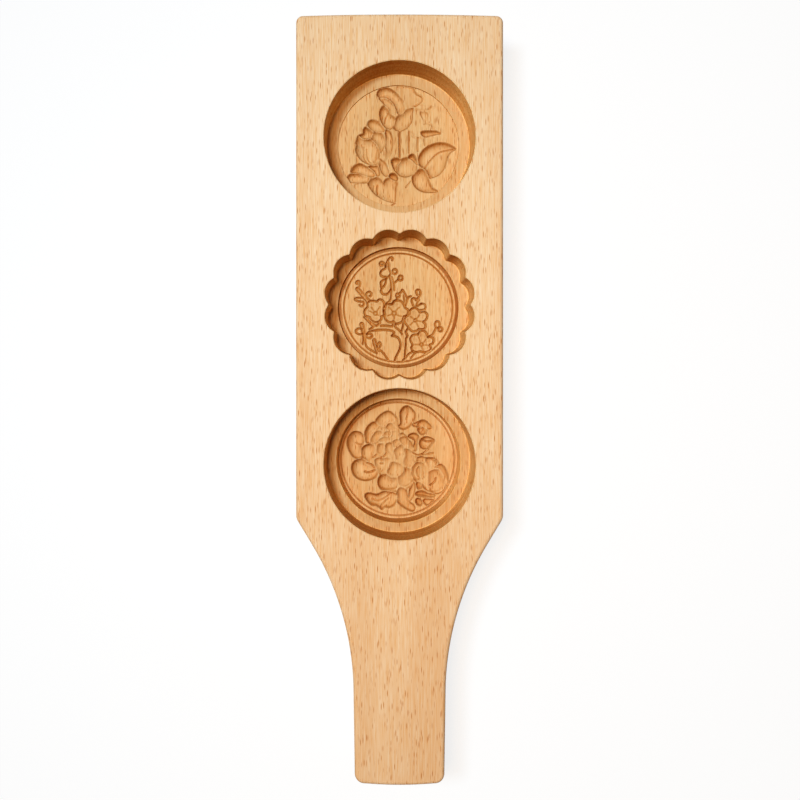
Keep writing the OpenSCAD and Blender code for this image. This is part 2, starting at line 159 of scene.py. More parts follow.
# The plum's lines share one width, TWIG_WIDTH, so each has only its depth and its points.
PLUM_LINES = (
    (0.7, ((-2.5, 19.7), (-2.2, 20.4), (-2.8, 20.9), (-3.7, 20.4), (-4.7, 18.8), (-5.2, 17.2))),
    (0.5, ((-4, 18.8), (-3.9, 16.5), (-3.1, 14.2), (-3.8, 13.2), (-4.9, 12.1))),
    (0.7, ((-6.3, 17.6), (-7.3, 17.6), (-7.7, 18.4), (-6.9, 19), (-5.8, 18.4), (-5.1, 17.3), (-5.5, 16.2),
        (-6.6, 15.6), (-7.4, 14.5), (-7.1, 13.3), (-6, 12.8), (-5, 12.8))),
    (0.7, ((-4.9, 12.1), (-6.2, 11.4), (-7.3, 10.4), (-6.9, 8.3), (-7.1, 6.8), (-6.2, 5.6), (-4.9, 5.5),
        (-3.7, 6.5), (-3, 7.6))),
    (0.6, ((-5, 12), (-5.3, 10.1), (-6.5, 8.1))),
    (0.5, ((-3.5, 13.3), (-2.9, 9.7), (-2.9, 6), (-3.3, 3.1), (-4.7, 1.9), (-5.4, 0.3))),
    (0.4, ((-2.7, 12.8), (-1.8, 9.9), (-1.6, 7.2))),
    (0.6, ((0.1, 11.7), (-1.4, 10.4))),
    (0.6, ((-0.5, 4.2), (-0.5, 3.3), (-1.9, 2.7), (-2.4, 1.5), (-3.7, 1.7))),
    (0.7, ((-12.8, 2.4), (-14.1, 4), (-15.6, 5.7), (-17.3, 7.6), (-17, 8.3), (-16.4, 8), (-14.9, 6.1),
        (-13.4, 4.1), (-12.1, 2.7))),
    (0.6, ((-16.8, 9.8), (-17.4, 10.1), (-17.2, 10.9), (-16.4, 11.1), (-15.8, 10.3), (-16, 8.8))),
    (0.6, ((-12, 4.9), (-11.4, 4.8), (-11.1, 5.8), (-11.8, 6.6), (-12.8, 6.3), (-13.3, 5.3), (-12.8, 4.1),
        (-11.8, 3))),
    (0.6, ((-14.5, 4.2), (-15.8, 4.1), (-17.4, 4), (-17.9, 3.3), (-16.4, 2.6), (-14.6, 2.4), (-14.2, 1.4),
        (-15.2, 0.5), (-16.1, 1.1))),
    (0.7, ((0.6, 6), (1.2, 6.4), (1.8, 7.4), (2.9, 5.7), (3.8, 4.2), (5.3, 4.8))),
    (0.5, ((2.3, 5.1), (2.6, 2.6), (3, 0.8), (3.5, 2.6), (3.9, 3.9))),
    (0.7, ((6.5, 0.3), (5.6, 2.8), (6.1, 3.9), (7.1, 3.8), (7.5, 3), (8.5, 4.4), (9.3, 5.9), (8.9, 7.3),
        (8.1, 7.5), (7.5, 6.7), (8, 5.2))),
    (0.7, ((7.9, 0.7), (9.7, 1.7))),
    (0.5, ((9.7, 1.7), (11, 1.4), (11.4, 0.1), (10.6, -0.8), (9.2, -1))),
    (0.5, ((7.3, 0.3), (8.2, 2.6), (8.7, 3.3))),
    (0.8, ((-1.4, -22.1), (-1, -20.6), (0.1, -18.4), (0.8, -16.5), (0.9, -14.7), (0.2, -12.8), (-1.1, -11.9),
        (-2.6, -11.7))),
    (0.7, ((-2.6, -11.7), (-1.7, -10.5), (-2.7, -9.6), (-5.3, -9.2), (-8.4, -9.3), (-11.2, -9.7),
        (-12.3, -10.3), (-13, -11))),
    (0.7, ((-7.3, -7.5), (-5.1, -7.5), (-2.5, -7.7), (-2.2, -6.6))),
    (0.7, ((-0.7, -6.7), (-1.3, -7.8), (0.3, -9.3), (1.2, -10.3), (1.6, -11))),
    (0.7, ((2.2, -6), (1.9, -8), (1.3, -9.9))),
    (0.8, ((4, -8.7), (3.2, -10.1), (3.9, -11.7), (3.2, -12.9), (3.2, -15.1), (2.9, -18.1), (2.7, -21),
        (2, -21.8))),
    (0.7, ((-14.1, -3.9), (-12.5, -5.5), (-11, -7.1), (-10.4, -8), (-11.9, -9))),
    (0.6, ((-13.3, -3.7), (-11.7, -5.6), (-10.1, -6.9), (-9, -7.5), (-7.5, -6.2))),
    (0.6, ((-14.7, -15.1), (-14.4, -13.7), (-14.5, -11.5), (-15, -9.2), (-15.7, -7.1), (-15.2, -6.3),
        (-14.5, -7), (-14.2, -9), (-14, -11.5), (-13.7, -14.2), (-13, -16.3), (-11.2, -17.7), (-9, -18.8))),
    (0.6, ((-14.9, -9), (-16.4, -8.6), (-17.5, -9.4), (-17.3, -10.5), (-16, -11.1), (-14.7, -10.8))),
    (0.6, ((-8.8, -18.8), (-9.6, -16.5), (-10.4, -13.9), (-10, -13.1), (-9.4, -13.6), (-8.9, -16),
        (-8.3, -17.8), (-7.2, -17.8), (-5.6, -19.6), (-4, -22))),
    (0.6, ((-8.7, -16.3), (-8.4, -15.1), (-7.7, -14.4), (-7.3, -15.2), (-7.6, -16.4), (-8.2, -17.1))),
    (0.6, ((12.5, -12.1), (14.3, -11.1), (15.1, -9.6), (15.5, -8.7))),
    (0.6, ((3.4, -20.4), (4.4, -19.2), (6.4, -18.1))),
    (0.5, ((5.3, -21), (6.2, -19.7), (7.3, -18.5))),
    (0.5, ((10.8, -19.7), (11.4, -18.8))),
)

PEONY_SCOOPS = (
    (0.7, 1.6, ((-14.5, 2.6), (-13.9, 4.9), (-12.1, 6.3), (-12.8, 8.4), (-12.5, 11.6), (-9.9, 14.8),
        (-7.9, 15.3), (-6.8, 17.6), (-3.5, 19.2), (-0.6, 17.6), (0, 14.8), (0.7, 10.7), (2.2, 10.7),
        (4.2, 8.6), (5.7, 6.1), (6.6, 2.6), (8.1, 1), (7.5, -1.3), (6.5, -3.5), (6.2, -8.1), (6.4, -10.4),
        (4, -12.2), (0.3, -13.4), (-3.5, -13.6), (-6.8, -12.2), (-7.9, -10.2), (-6.8, -7.6), (-7.9, -6),
        (-9.5, -4.4), (-11.7, -2.8), (-12.3, -1.8), (-14.3, -0.4))),
    (0.7, 1.4, ((8.6, -0.6), (10.8, 0.4), (13.7, 0.3), (16.3, -0.4), (17.6, -2.5), (20.1, -4.2),
        (21.2, -9.3), (20.3, -11.6), (18.7, -13.6), (16.5, -14.6), (13.9, -13.9), (11, -12.2), (10.1, -10.4),
        (7.9, -9.7), (6.6, -7.9), (6.5, -5.1), (7.3, -3))),
    (1.3, 2.6, ((-21.3, 7), (-20.5, 9.6), (-18.9, 11.3), (-17, 11.5), (-15.4, 10.8), (-14.4, 9.4),
        (-14.3, 7.5), (-15.2, 5.8), (-15.7, 3.8), (-15.5, 1.2), (-16.5, 0.2), (-18, 0.5), (-19.3, 1.6),
        (-20.7, 4.2))),
    (1.1, 2.4, ((-9.2, 16), (-8.2, 17.7), (-6.6, 19), (-4.6, 20), (-2.8, 19.6), (-1.5, 18.3), (-1.1, 16.6),
        (-1.7, 15.2), (-3.6, 14.9), (-5.4, 13.4), (-7.6, 13.8))),
    (1.2, 2.2, ((-13.8, 9), (-13.8, 10.6), (-13.2, 12.8), (-12, 14.4), (-10.6, 15.3), (-9.2, 15.3),
        (-8, 13.8), (-9.4, 12), (-10.8, 11.2), (-11.6, 9), (-12, 7), (-13.2, 7))),
    (1.3, 2.2, ((0.2, 13.6), (1.2, 14.8), (1.2, 16), (1, 18), (1.1, 20), (2.2, 21.6), (4, 22.3), (5.9, 21),
        (7.1, 19.4), (7.2, 17.5), (6.6, 15.8), (5.5, 14.3), (4, 13), (2.4, 12.4), (1, 12.8))),
    (0.8, 1, ((6.3, 15.4), (6.4, 13.9), (7.8, 13.7), (8.8, 14.6), (8.6, 15.6), (7.2, 14.9))),
    (1, 1.6, ((7.8, 13.6), (8.2, 15), (9.4, 16), (11, 16.2), (12.5, 15.3), (14.1, 13.3), (12.6, 12.6),
        (11, 13.4), (9.4, 13))),
    (1, 1.4, ((8.3, 12.4), (8.8, 11.2), (9.8, 10.4), (10.9, 10.4), (11.8, 11.2), (12.3, 12.4), (10.8, 13.2),
        (9.2, 13.2))),
    (1.2, 1.8, ((9.1, 6.6), (9.4, 7.8), (10.4, 8.8), (11.8, 9.3), (13.4, 9), (15.4, 7.8), (14.4, 6.5),
        (13.5, 5.2), (12.6, 4.4), (11.2, 4.2), (10, 4.6), (9.4, 5.4))),
    (1, 1.2, ((4.3, 9.2), (5, 10.2), (6.4, 10.7), (7.8, 10.4), (8.8, 9.3), (8.4, 8), (7.9, 6), (7.8, 4),
        (7, 3.4), (6.6, 5), (7.2, 6.6), (6.8, 8), (5.6, 8.7))),
    (1.1, 1.8, ((-5.4, 12.6), (-4.4, 14.7), (-3, 15.1), (-1.8, 14.5), (-0.9, 13.2), (-0.3, 12.2), (-2, 11.8),
        (-4, 12))),
    (1.2, 2, ((-11.7, 8), (-10.7, 10), (-9.7, 11.4), (-8.2, 12), (-6.7, 11.7), (-6.2, 10.4), (-7.6, 8.6),
        (-9, 7), (-10.2, 6.4), (-11.4, 6.8))),
    (0.9, 1, ((-5.6, 9.8), (-5.5, 11.4), (-3.6, 11.7), (-2.4, 11), (-2.8, 9.4), (-4.4, 9.2))),
    (0.9, 1, ((-8.4, 7.6), (-7, 8.8), (-5.6, 9.4), (-3.4, 9), (-2.6, 7.6), (-4.6, 7), (-6.6, 6.8))),
    (1.2, 2, ((0.4, 8.2), (1.4, 9.2), (2.8, 9.5), (3.9, 8.7), (4.5, 7.4), (4.4, 5.6), (3, 5.2), (1.8, 6),
        (0.8, 6.8))),
    (0.9, 1.2, ((4.5, 7.6), (5.6, 6.9), (6, 5.4), (6.6, 4), (6.2, 3), (5, 3.9), (4.4, 4.4), (4.6, 5.8))),
    (1.2, 1.8, ((-8.9, 4.6), (-8.5, 6.2), (-7, 6.5), (-5.6, 6), (-5.8, 4), (-6.6, 2), (-8, 1.6), (-9, 2.6))),
    (1.2, 2, ((-5.5, 5.4), (-4.9, 6.5), (-3.6, 6.9), (-2.4, 6.8), (-2, 5.4), (-1.9, 3.6), (-2.6, 1.8),
        (-4, 1.4), (-5.2, 2.4), (-5.6, 4))),
    (1.1, 1.6, ((-2.3, 7.3), (-1.2, 8.1), (0, 8.4), (0.9, 7.2), (1.4, 6), (0.4, 5.2), (-0.6, 4.8),
        (-1.6, 4.4), (-2, 5.6))),
    (1.2, 2.2, ((-1.8, 3.4), (-1, 4.5), (0.2, 5.3), (1.4, 6.2), (2.4, 5.6), (3, 4.6), (2.9, 3), (3.1, 1.4),
        (2, 0.2), (0.6, -0.8), (-0.8, -0.6), (-1, 1), (-1.6, 2.2))),
    (1.3, 2.4, ((2.4, 4.3), (3.6, 4.4), (5, 3.9), (6, 3.1), (6.6, 2.2), (7.4, 1.4), (7.8, 0), (7.2, -1.6),
        (6, -3), (4.6, -3.6), (3, -3.2), (2.3, -1.8), (2.6, -0.2), (3, 1.2), (2.7, 3))),
    (1.4, 2.2, ((-15.6, 2.4), (-15.1, 4.4), (-13.8, 5.6), (-12.2, 6.1), (-10.6, 6), (-9.6, 5), (-9.4, 3.2),
        (-10.2, 1.2), (-11, -0.8), (-12.5, -1.5), (-14.3, -0.6), (-15.2, 0.6))),
    (1.4, 2.8, ((-19.4, -4), (-19, -2), (-17.8, -0.7), (-16, -0.1), (-14, -0.3), (-12.4, -1.6),
        (-10.6, -2.4), (-9.4, -3.8), (-8.6, -5.6), (-9, -7.2), (-10.6, -8.4), (-13, -9.1), (-15.2, -8.9),
        (-17.2, -8), (-18.6, -6.6))),
    (1.1, 1.8, ((-10, -0.4), (-9.9, -2.4), (-9.2, -4.2), (-8, -5.3), (-6.4, -5.6), (-5, -5.3), (-4.3, -3.6),
        (-3.4, -1.6), (-2.8, -0.2), (-4.2, 0.6), (-6.2, 0.2), (-8.2, 0.6))),
    (1.2, 2.2, ((-2.6, -1.2), (-3.5, -3), (-4.5, -4.8), (-4.6, -6.3), (-3.4, -7.3), (-2, -8), (-0.6, -7.8),
        (0.2, -7.3), (1.4, -6.5), (2.1, -5.4), (2.2, -4), (1.7, -2.7), (0.6, -1.9), (-0.8, -1.4))),
    (1.3, 2.4, ((2.4, -3.2), (2.5, -4.4), (2.3, -5.7), (1.1, -6.9), (0.1, -7.7), (0, -9.4), (0.7, -10.8),
        (2.2, -11.6), (3.8, -11.4), (5.2, -10.4), (6.2, -9.2), (5.9, -7.6), (5.5, -6), (5.4, -4.6),
        (4.4, -3.9))),
    (1.5, 2.6, ((-4.8, -6.5), (-6.2, -6.6), (-7.3, -7.1), (-8.1, -8.3), (-8.4, -9.8), (-8, -11.5),
        (-6.9, -12.7), (-5, -13), (-2.8, -12.9), (-1, -12.5), (-0.3, -11), (-0.2, -9.2), (-0.8, -8.2),
        (-2.4, -8.2), (-3.6, -7.6))),
    (1, 1.4, ((7.6, -0.5), (8.2, 0.4), (9.3, 0.9), (10.6, 0.8), (11.3, 0), (11.4, -1.2), (10.8, -1.9),
        (9.5, -1.3), (8.2, -1.3))),
    (1.1, 1.6, ((11.5, -0.2), (12.6, 0.4), (14.2, 0.4), (15.5, 0.1), (14.6, -1), (14.2, -2.4), (14, -3.8),
        (12.9, -4.6), (12.5, -3), (11.8, -1.9))),
    (1, 1.6, ((14.9, -4), (15.8, -3.1), (17.2, -2.4), (18.6, -2.5), (19.8, -4), (20.8, -6.4), (21.1, -9),
        (20.2, -9.2), (19.4, -7.6), (18.4, -5.6), (17.4, -4.4), (16, -4.2))),
    (1.3, 2.4, ((8, -1.5), (6.9, -2.3), (6, -3.8), (5.7, -5.4), (5.8, -7.2), (6.8, -8.8), (8.4, -9.3),
        (10.4, -9.1), (11.9, -8.4), (12.6, -7), (12.5, -5.4), (12.3, -3.8), (11.5, -2.4), (9.8, -1.4))),
    (1.5, 1.2, ((8.6, -3.2), (7.7, -4.6), (7.5, -6.4), (8.2, -8), (9.4, -8), (10, -6.4), (9.9, -4.6),
        (9.4, -3.3))),
    (1, 1.2, ((8, -10), (7.9, -11.4), (8.6, -12.6), (9.8, -12.4), (10, -11), (9.6, -10))),
    (1.3, 2.4, ((12.9, -5.6), (14.2, -4.8), (15.8, -4.5), (17.4, -4.7), (18.1, -6.2), (19.2, -7.8),
        (20, -9.6), (19, -11.6), (17.4, -13.2), (15.4, -13.8), (13.6, -13.4), (12.8, -12), (12.7, -10),
        (12.8, -7.6))),
    (1.1, 2.2, ((-0.2, -13), (-0.4, -15), (-0.4, -17), (0.3, -18.6), (1.6, -19.7), (3, -20.7), (4.8, -21.6),
        (6.5, -21.9), (7.2, -20.6), (6.4, -19.2), (5, -18.2), (4.2, -16), (3.6, -13.6), (2.6, -12.3),
        (1, -12))),
    (0.8, 1.6, ((6.6, -9.8), (5.8, -11.3), (5, -13), (4.7, -15), (4.7, -17.4), (5.7, -17), (6.6, -15.4),
        (7.2, -13), (7.3, -11))),
    (1.2, 2.2, ((-13.9, -15.6), (-13.2, -14.7), (-11.6, -14.4), (-9.3, -15), (-7.6, -14.6), (-5.6, -13.7),
        (-3.4, -14), (-1.6, -14.4), (-0.6, -15.4), (-0.6, -17.4), (-1.6, -19.4), (-3.6, -20.4),
        (-5.5, -20.2), (-6.6, -21.2), (-7.7, -20.4), (-9, -19.6), (-11, -19.3), (-12.4, -18.2),
        (-13.3, -16.9))),
    (0.9, 1.4, ((7.2, -14.8), (8.1, -13.9), (9.6, -13.5), (11.2, -13.8), (13, -14.6), (15.6, -15.2),
        (14.4, -16), (12, -16), (9.8, -15.8), (8.4, -15.5))),
    (1.1, 1.4, ((7.6, -17), (7.6, -18.3), (8.3, -19.3), (9.4, -19.7), (10.2, -18.9), (9.9, -17.5),
        (8.7, -16.7))),
    (0.9, 1.4, ((10.6, -17.6), (11.3, -18.8), (12.4, -19.4), (14, -18.2), (15, -17.4), (13.2, -17),
        (11.6, -17))),
)

PEONY_LINES = (
    (0.9, 0.45, ((-12.8, -2.1), (-11.6, -2.4), (-10.6, -3.1), (-10, -3.9))),
    (0.9, 0.4, ((-13.9, -5.7), (-12.5, -6), (-11, -5.7), (-9.8, -5.1))),
    (0.8, 0.4, ((16.2, -8.4), (15.9, -9.7), (15, -10.6), (13.8, -11.3))),
    (0.8, 0.4, ((6.6, 2.2), (8, 1.6), (10, 1.9), (11.5, 2.9), (12.8, 4.2))),
    (0.8, 0.3, ((10.4, 2), (12.6, 2.1), (14.8, 2.5))),
    (0.8, 0.35, ((11, 7.5), (12.5, 7.1), (14.2, 7.4))),
    (0.7, 0.3, ((-17.6, 6.6), (-16.6, 6.1), (-14.6, 6.1))),
    (0.7, 0.3, ((-7.3, -2.2), (-6.2, -2.2))),
    (0.7, 0.3, ((-10.4, 0.5), (-9.6, 1), (-8.9, 1.7))),
    (0.7, 0.3, ((-6, 0.8), (-5.2, 1.6), (-4.8, 2.4))),
    (0.7, 0.3, ((-7, 0.6), (-6.8, -1.2))),
    (0.8, 0.35, ((10.3, -11), (11.5, -12.2), (12.8, -13.4))),
    (0.7, 0.25, ((-10.8, -17.1), (-8.6, -17.8), (-5.9, -17.1), (-2.8, -14.8))),
    (0.7, 0.25, ((-7, -21), (-6.6, -19.4), (-3.9, -16.9))),
    (0.7, 0.28, ((4, 22), (4.4, 19.4), (3.7, 16.4))),
    (0.8, 0.3, ((9.3, 13.6), (9.4, 12.6))),
    (0.8, 0.3, ((10.5, 13.3), (10.5, 12.3))),
    (0.7, 0.25, ((14.1, -0.2), (15.7, -1.3), (16.3, -2.9))),
    (0.7, 0.25, ((8.1, -15), (10.6, -15), (13.7, -15.7))),
)

# Buds and eyes are rings: the middle, half the width and half the height.
PLUM_BUDS = (
    (-1.4, 15, 1, 1), (1, 12.3, 0.9, 1), (-0.1, 5.1, 0.8, 0.8),
    (-12, -11.7, 1.3, 0.9), (16.3, -7, 1, 1.4), (17.6, -9, 0.8, 0.9),
)
PLUM_EYES = ((-9.4, -2.3, 0.7, 0.7), (-1.6, -2.3, 0.8, 0.8), (7.2, -5.2, 0.6, 0.6), (9.8, -15.3, 0.6, 0.6))

# The outlines of the blossoms, and the fine lines between their petals.
PLUM_BLOSSOMS = (
    ((-12.7, 1.8), (-12.7, 0.3), (-13.6, -0.7), (-14, -1.9), (-13.4, -3.3), (-11.8, -3.8), (-11.5, -4.5),
        (-10.7, -5.5), (-9.1, -6), (-7.7, -5.5), (-7, -4.5), (-7, -3.6), (-6.1, -3.3), (-5.6, -1.9),
        (-6.1, -0.6), (-5.7, 1.1), (-6.1, 2.5), (-7, 3.3), (-8, 3.4), (-8.8, 2.5), (-10, 2.8), (-11.4, 2.8),
        (-12.3, 2.4)),
    ((-2.1, 1.6), (-3.2, 1.3), (-4.5, 1.6), (-5.3, 0.5), (-5.4, -0.5), (-6.1, -1.6), (-5.4, -2.8),
        (-5.5, -4), (-4.8, -5.2), (-3.6, -6), (-2.2, -5.8), (-1.8, -5.7), (-0.9, -6.6), (0.3, -6.4),
        (1.5, -5.8), (2, -4.7), (2.3, -3.6), (3.4, -3.3), (4.1, -2.2), (4, -0.8), (2.8, 0), (2.6, 0.5),
        (2, 1.9), (1, 2.7), (-0.4, 3), (-1.5, 2.6)),
    ((4.8, -2.6), (4.9, -1.3), (6, -0.3), (7.4, -0.2), (8.5, -1.1), (9.1, -2), (10.6, -1.7), (11.9, -2.5),
        (12.1, -3.8), (11.3, -5.2), (10.5, -5.9), (11.3, -6.9), (11.2, -8.2), (10.2, -8.9), (8.7, -8.8),
        (7.6, -9.6), (6.2, -9.8), (5, -9.1), (4.2, -7.9), (3, -6.4), (2.6, -5), (3.2, -3.8), (4.1, -3.3)),
    ((8.3, -11.2), (9, -9.9), (10.4, -9.6), (11.6, -10.4), (12.4, -12.2), (13.9, -12.2), (14.7, -13.3),
        (14.3, -14.8), (13, -15.5), (13.6, -16.5), (13.2, -17.7), (11.6, -18.4), (10.4, -18.4), (9.2, -18.1),
        (7.6, -18.4), (6.2, -18), (5.5, -16.7), (6, -15.4), (5.3, -14), (5.1, -12.6), (6, -11.5),
        (7.1, -11.2)),
)
PLUM_VEINS = (
    ((-3.9, 0.2), (-2.7, -0.9), (-2.1, -1.7)),
    ((0.6, 0.2), (-0.4, -0.6), (-1.1, -1.6)),
    ((1.5, -3.5), (0.3, -3.3), (-0.7, -2.8)),
    ((-1.8, -5.6), (-1.6, -4.5), (-1.6, -3.3)),
    ((-4.8, -3.5), (-3.4, -3), (-2.4, -2.7)),
    ((-11.1, 0.2), (-10.2, -1.1), (-9.6, -1.9)),
    ((-7.6, 0.4), (-8.4, -0.8), (-9, -1.8)),
    ((-7.2, -3.5), (-8.3, -3), (-8.9, -2.7)),
    ((-11.8, -1.4), (-10.7, -1.9), (-9.8, -2.3)),
    ((9, -2.5), (8.4, -3.8), (7.4, -4.7)),
    ((5, -3.5), (6, -4.2), (6.8, -4.9)),
    ((10.4, -5.8), (9, -5.6), (7.7, -5.3)),
    ((8.7, -8.7), (8.1, -7.2), (7.4, -5.8)),
    ((4.2, -7.8), (5.5, -6.7), (6.7, -5.6)),
    ((8.3, -11.3), (9, -13.3), (9.6, -14.9)),
    ((12.3, -12.3), (11.3, -13.5), (10.2, -15)),
    ((13, -15.5), (11.6, -15.5), (10.3, -15.4)),
    ((10.4, -18.3), (10.1, -17), (9.8, -15.8)),
    ((6.1, -15.4), (7.6, -15.3), (9.4, -15.3)),
)


def length(name, description, millimetres):
    """A size that shows in the sidebar with its unit."""
    return FloatProperty(
        name=name, description=description, default=millimetres * MM, unit="LENGTH", precision=5)


def angle(name, description, degrees):
    """An angle that shows in the sidebar in degrees."""
    return FloatProperty(name=name, description=description, default=math.radians(degrees), subtype="ANGLE")


def colour(name, description, red, green, blue):
    """A colour as it looks on the screen, from 0 to 255."""
    return FloatVectorProperty(
        name=name, description=description, size=3, min=0, max=1, subtype="COLOR_GAMMA",
        default=(red / 255, green / 255, blue / 255))


def count(name, description, default, least):
    """A whole number, such as a number of lobes."""
    return IntProperty(name=name, description=description, default=default, min=least)


class BoardSettings(bpy.types.PropertyGroup):
    edge_round: length("Edge round-over", "Radius of the round-over on every outer edge", 1.6)
    head_corner: length("Head corner", "Corner radius at the head's end", 2.8)
    end_crown: length("End crown", "How far the middle of each end bulges past its corners", 0.6)
    shoulder_drop: length("Shoulder drop", "From the third hollow's centre down to the shoulders", 21.5)
    shoulder_angle: angle("Shoulder angle", "Angle of the shoulders to the length of the board", 31)
    shoulder_round: length("Shoulder radius", "Radius where a shoulder leaves the head", 5)
    neck_radius: length("Neck radius", "Radius of the hollow curve between shoulder and grip", 115)
    grip_width: length("Grip width", "Width of the grip at its end", 35.4)
    grip_taper: angle("Grip taper", "Angle by which each side of the grip widens towards the head", 0.86)
    grip_corner: length("Grip corner", "Corner radius at the grip's end", 3.8)
    hollow_width: length("Hollow width", "Width of each hollow at its rim", 60)
    wall_draft: angle("Wall draft", "Draft of the hollows' walls", 3)
    rim_round: length("Rim round-over", "Radius of the fine round-over on the hollows' rims", 0.35)
    foot_round: length("Foot radius", "Radius where a wall meets its floor", 0.4)
    lobe_count: count("Lobes", "Lobes round the scalloped hollow", 16, 6)
    lobe_radius: length("Lobe radius", "Radius of one lobe at the rim", 7)
    cusp_round: length("Cusp radius", "Radius that softens the cusps between the lobes", 0.8)
    plain_depth: length("Plain depth", "Depth of the plain hollow's floor", 12)
    scalloped_depth: length("Scalloped depth", "Depth of the scalloped hollow's floor", 12.5)
    stepped_depth: length("Stepped depth", "Depth of the stepped hollow's shelf", 11.5)
    glue_line: length("Glue line", "Width of the seam that still shows round a glued medallion", 0.03)


class CarvingSettings(bpy.types.PropertyGroup):
    bead_width: length("Bead width", "Width of the border bead", 0.7)
    bead_groove: length("Groove width", "Width of the fine groove inside the bead", 0.8)
    bead_groove_depth: length("Groove depth", "Depth of the fine groove inside the bead", 0.7)
    bevel_width: length("Bevel width", "Width of the bevel outside the plum blossom's bead", 1.4)
    bevel_depth: length("Bevel depth", "Depth of the bevel outside the plum blossom's bead", 1.6)
    edge_chamfer: length("Edge chamfer", "Small chamfer on the other medallions' edges", 0.12)
    depth: FloatProperty(
        name="Depth", description="How deep the motifs are cut", default=2.0, min=0.2, max=2.4)
    rings: count("Rings", "Rings of faces across the carved field", 112, 20)
    border_rings: count("Border rings", "Finer rings in the border", 28, 4)
    border_width: length("Border", "Width of the finer border", 2.5)


class WoodSettings(bpy.types.PropertyGroup):
    sanded: colour("Sanded face", "Beech on the sanded outside of the board", 243, 200, 150)
    wall: colour("Cut wall", "Beech on the walls of the hollows", 243, 188, 112)
    floor: colour("Hollow floor", "Beech on the floors of the hollows", 215, 168, 110)
    carved: colour("Carved face", "Beech on the carved medallions", 226, 176, 115)
    # The arris colour is paler than the sanded face: a painted highlight along the rims.
    arris_highlight: colour("Arris", "Beech on the fine edges of the rims", 247, 206, 150)
    fleck_width: length("Fleck width", "Width of the short dark flecks in the grain", 0.36)
    fleck_length: length("Fleck length", "Length of the short dark flecks in the grain", 3.4)


class StudioSettings(bpy.types.PropertyGroup):
    camera_x: length("Camera across", "Where the camera stands across the board", -12.5)
    camera_y: length("Camera along", "Where the camera stands along the board", 11.4)
    camera_height: length("Camera height", "Height of the camera above the board's face", 275)
    view_width: length("View width", "Width of the view on the board's face", 315.4)
    centre_x: length("View centre across", "Middle of the view on the board's face", 0.1)
    centre_y: length("View centre along", "Middle of the view on the board's face", -0.1)
    key_power: FloatProperty(
        name="Key light", description="Power of both key lights", default=4.45, min=0, unit="POWER")
    key_size: length("Key size", "Width of each key light", 140)
    key_spread: length("Key spread", "How far each key light stands from the middle of the two", 65)
    key_x: length("Key across", "Where the key lights stand across the board", -170)
    key_y: length("Key along", "Where the key lights stand along the board", 100)
    key_height: length("Key height", "Height of the key lights above the board's face", 550)
    fill: FloatProperty(name="Fill", description="Strength of the even light all round", default=0.04, min=0)


# Profiles and outlines

# Steps along the arcs of the outlines, and along each fillet of the edge's and the hollows' profiles.
CROWN_STEPS, CORNER_STEPS, SHOULDER_STEPS, NECK_STEPS = 8, 14, 12, 40
CIRCLE_STEPS, LOBE_STEPS, CUSP_STEPS = 256, 18, 6
EDGE_STEPS, HOLLOW_STEPS = 8, 5


def half_width(box):
    return (box[1][0] - box[0][0]) / 2


def middle_y(box):
    return (box[0][1] + box[1][1]) / 2


def unit(v):
    return v / np.linalg.norm(v)


def rounded(corners, radii, steps):
    """Points and normals along a profile of (inset, height) corners, with a fillet at each inner corner.

    Each item is inset, height and the two parts of the outward normal. Insets count towards the middle.
    """
    corners = [np.array(c, float) for c in corners]
    first = unit(corners[1] - corners[0])
    out = [(*corners[0], -first[1], first[0])]
    for before, corner, after, radius in zip(corners, corners[1:], corners[2:], radii):
        a = unit(corner - before)
        b = unit(after - corner)
        turn = math.atan2(a[0] * b[1] - a[1] * b[0], a @ b)
        reach = radius * math.tan(abs(turn) / 2)
        start = corner - a * reach
        side = math.copysign(1.0, turn)
        centre = start + side * radius * np.array((-a[1], a[0]))
        for i in range(steps + 1):
            t = turn * i / steps
            way = np.array((a[0] * math.cos(t) - a[1] * math.sin(t), a[0] * math.sin(t) + a[1] * math.cos(t)))
            point = centre - side * radius * np.array((-way[1], way[0]))
            out.append((*point, -way[1], way[0]))
    last = unit(corners[-1] - corners[-2])
    out.append((*corners[-1], -last[1], last[0]))
    return out


def follow(arcs, inset, gaps=False):
    """Points and outward normals along an outline of arcs, drawn in by inset.

    With gaps, straight lines join the arcs, so each arc keeps both of its ends.
    """
    points, normals = [], []
    for centre, radius, start, end, steps, bend in arcs:
        for a in np.linspace(start, end, steps + gaps, endpoint=gaps):
            way = np.array((math.cos(a), math.sin(a)))
            points.append(np.asarray(centre) + (radius - bend * inset) * way)
            normals.append(bend * way)
    return np.array(points), np.array(normals)


def meet(p, a, q, b):
    """Where two lines meet, each given by a point and its angle."""
    d = np.subtract(q, p)
    k = (d[0] * math.sin(b) - d[1] * math.cos(b)) / math.sin(b - a)
    return np.array((p[0] + k * math.cos(a), p[1] + k * math.sin(a)))


def corner_arc(p, a, b, radius, steps):
    """Arc that rounds the corner at p, where the outline arrives at angle a and leaves at angle b."""
    bend = math.copysign(1.0, b - a)
    mid = (a + b) / 2
    reach = bend * radius / math.cos(abs(b - a) / 2)
    centre = (p[0] - reach * math.sin(mid), p[1] + reach * math.cos(mid))
    return centre, radius, a - bend * math.pi / 2, b - bend * math.pi / 2, steps, bend


def crown(board, half, corner):
    """Slope of an end's crown at its corners, and its radius."""
    slope = math.atan(2 * board.end_crown / half)
    return slope, (half - 2 * corner) / math.sin(slope)


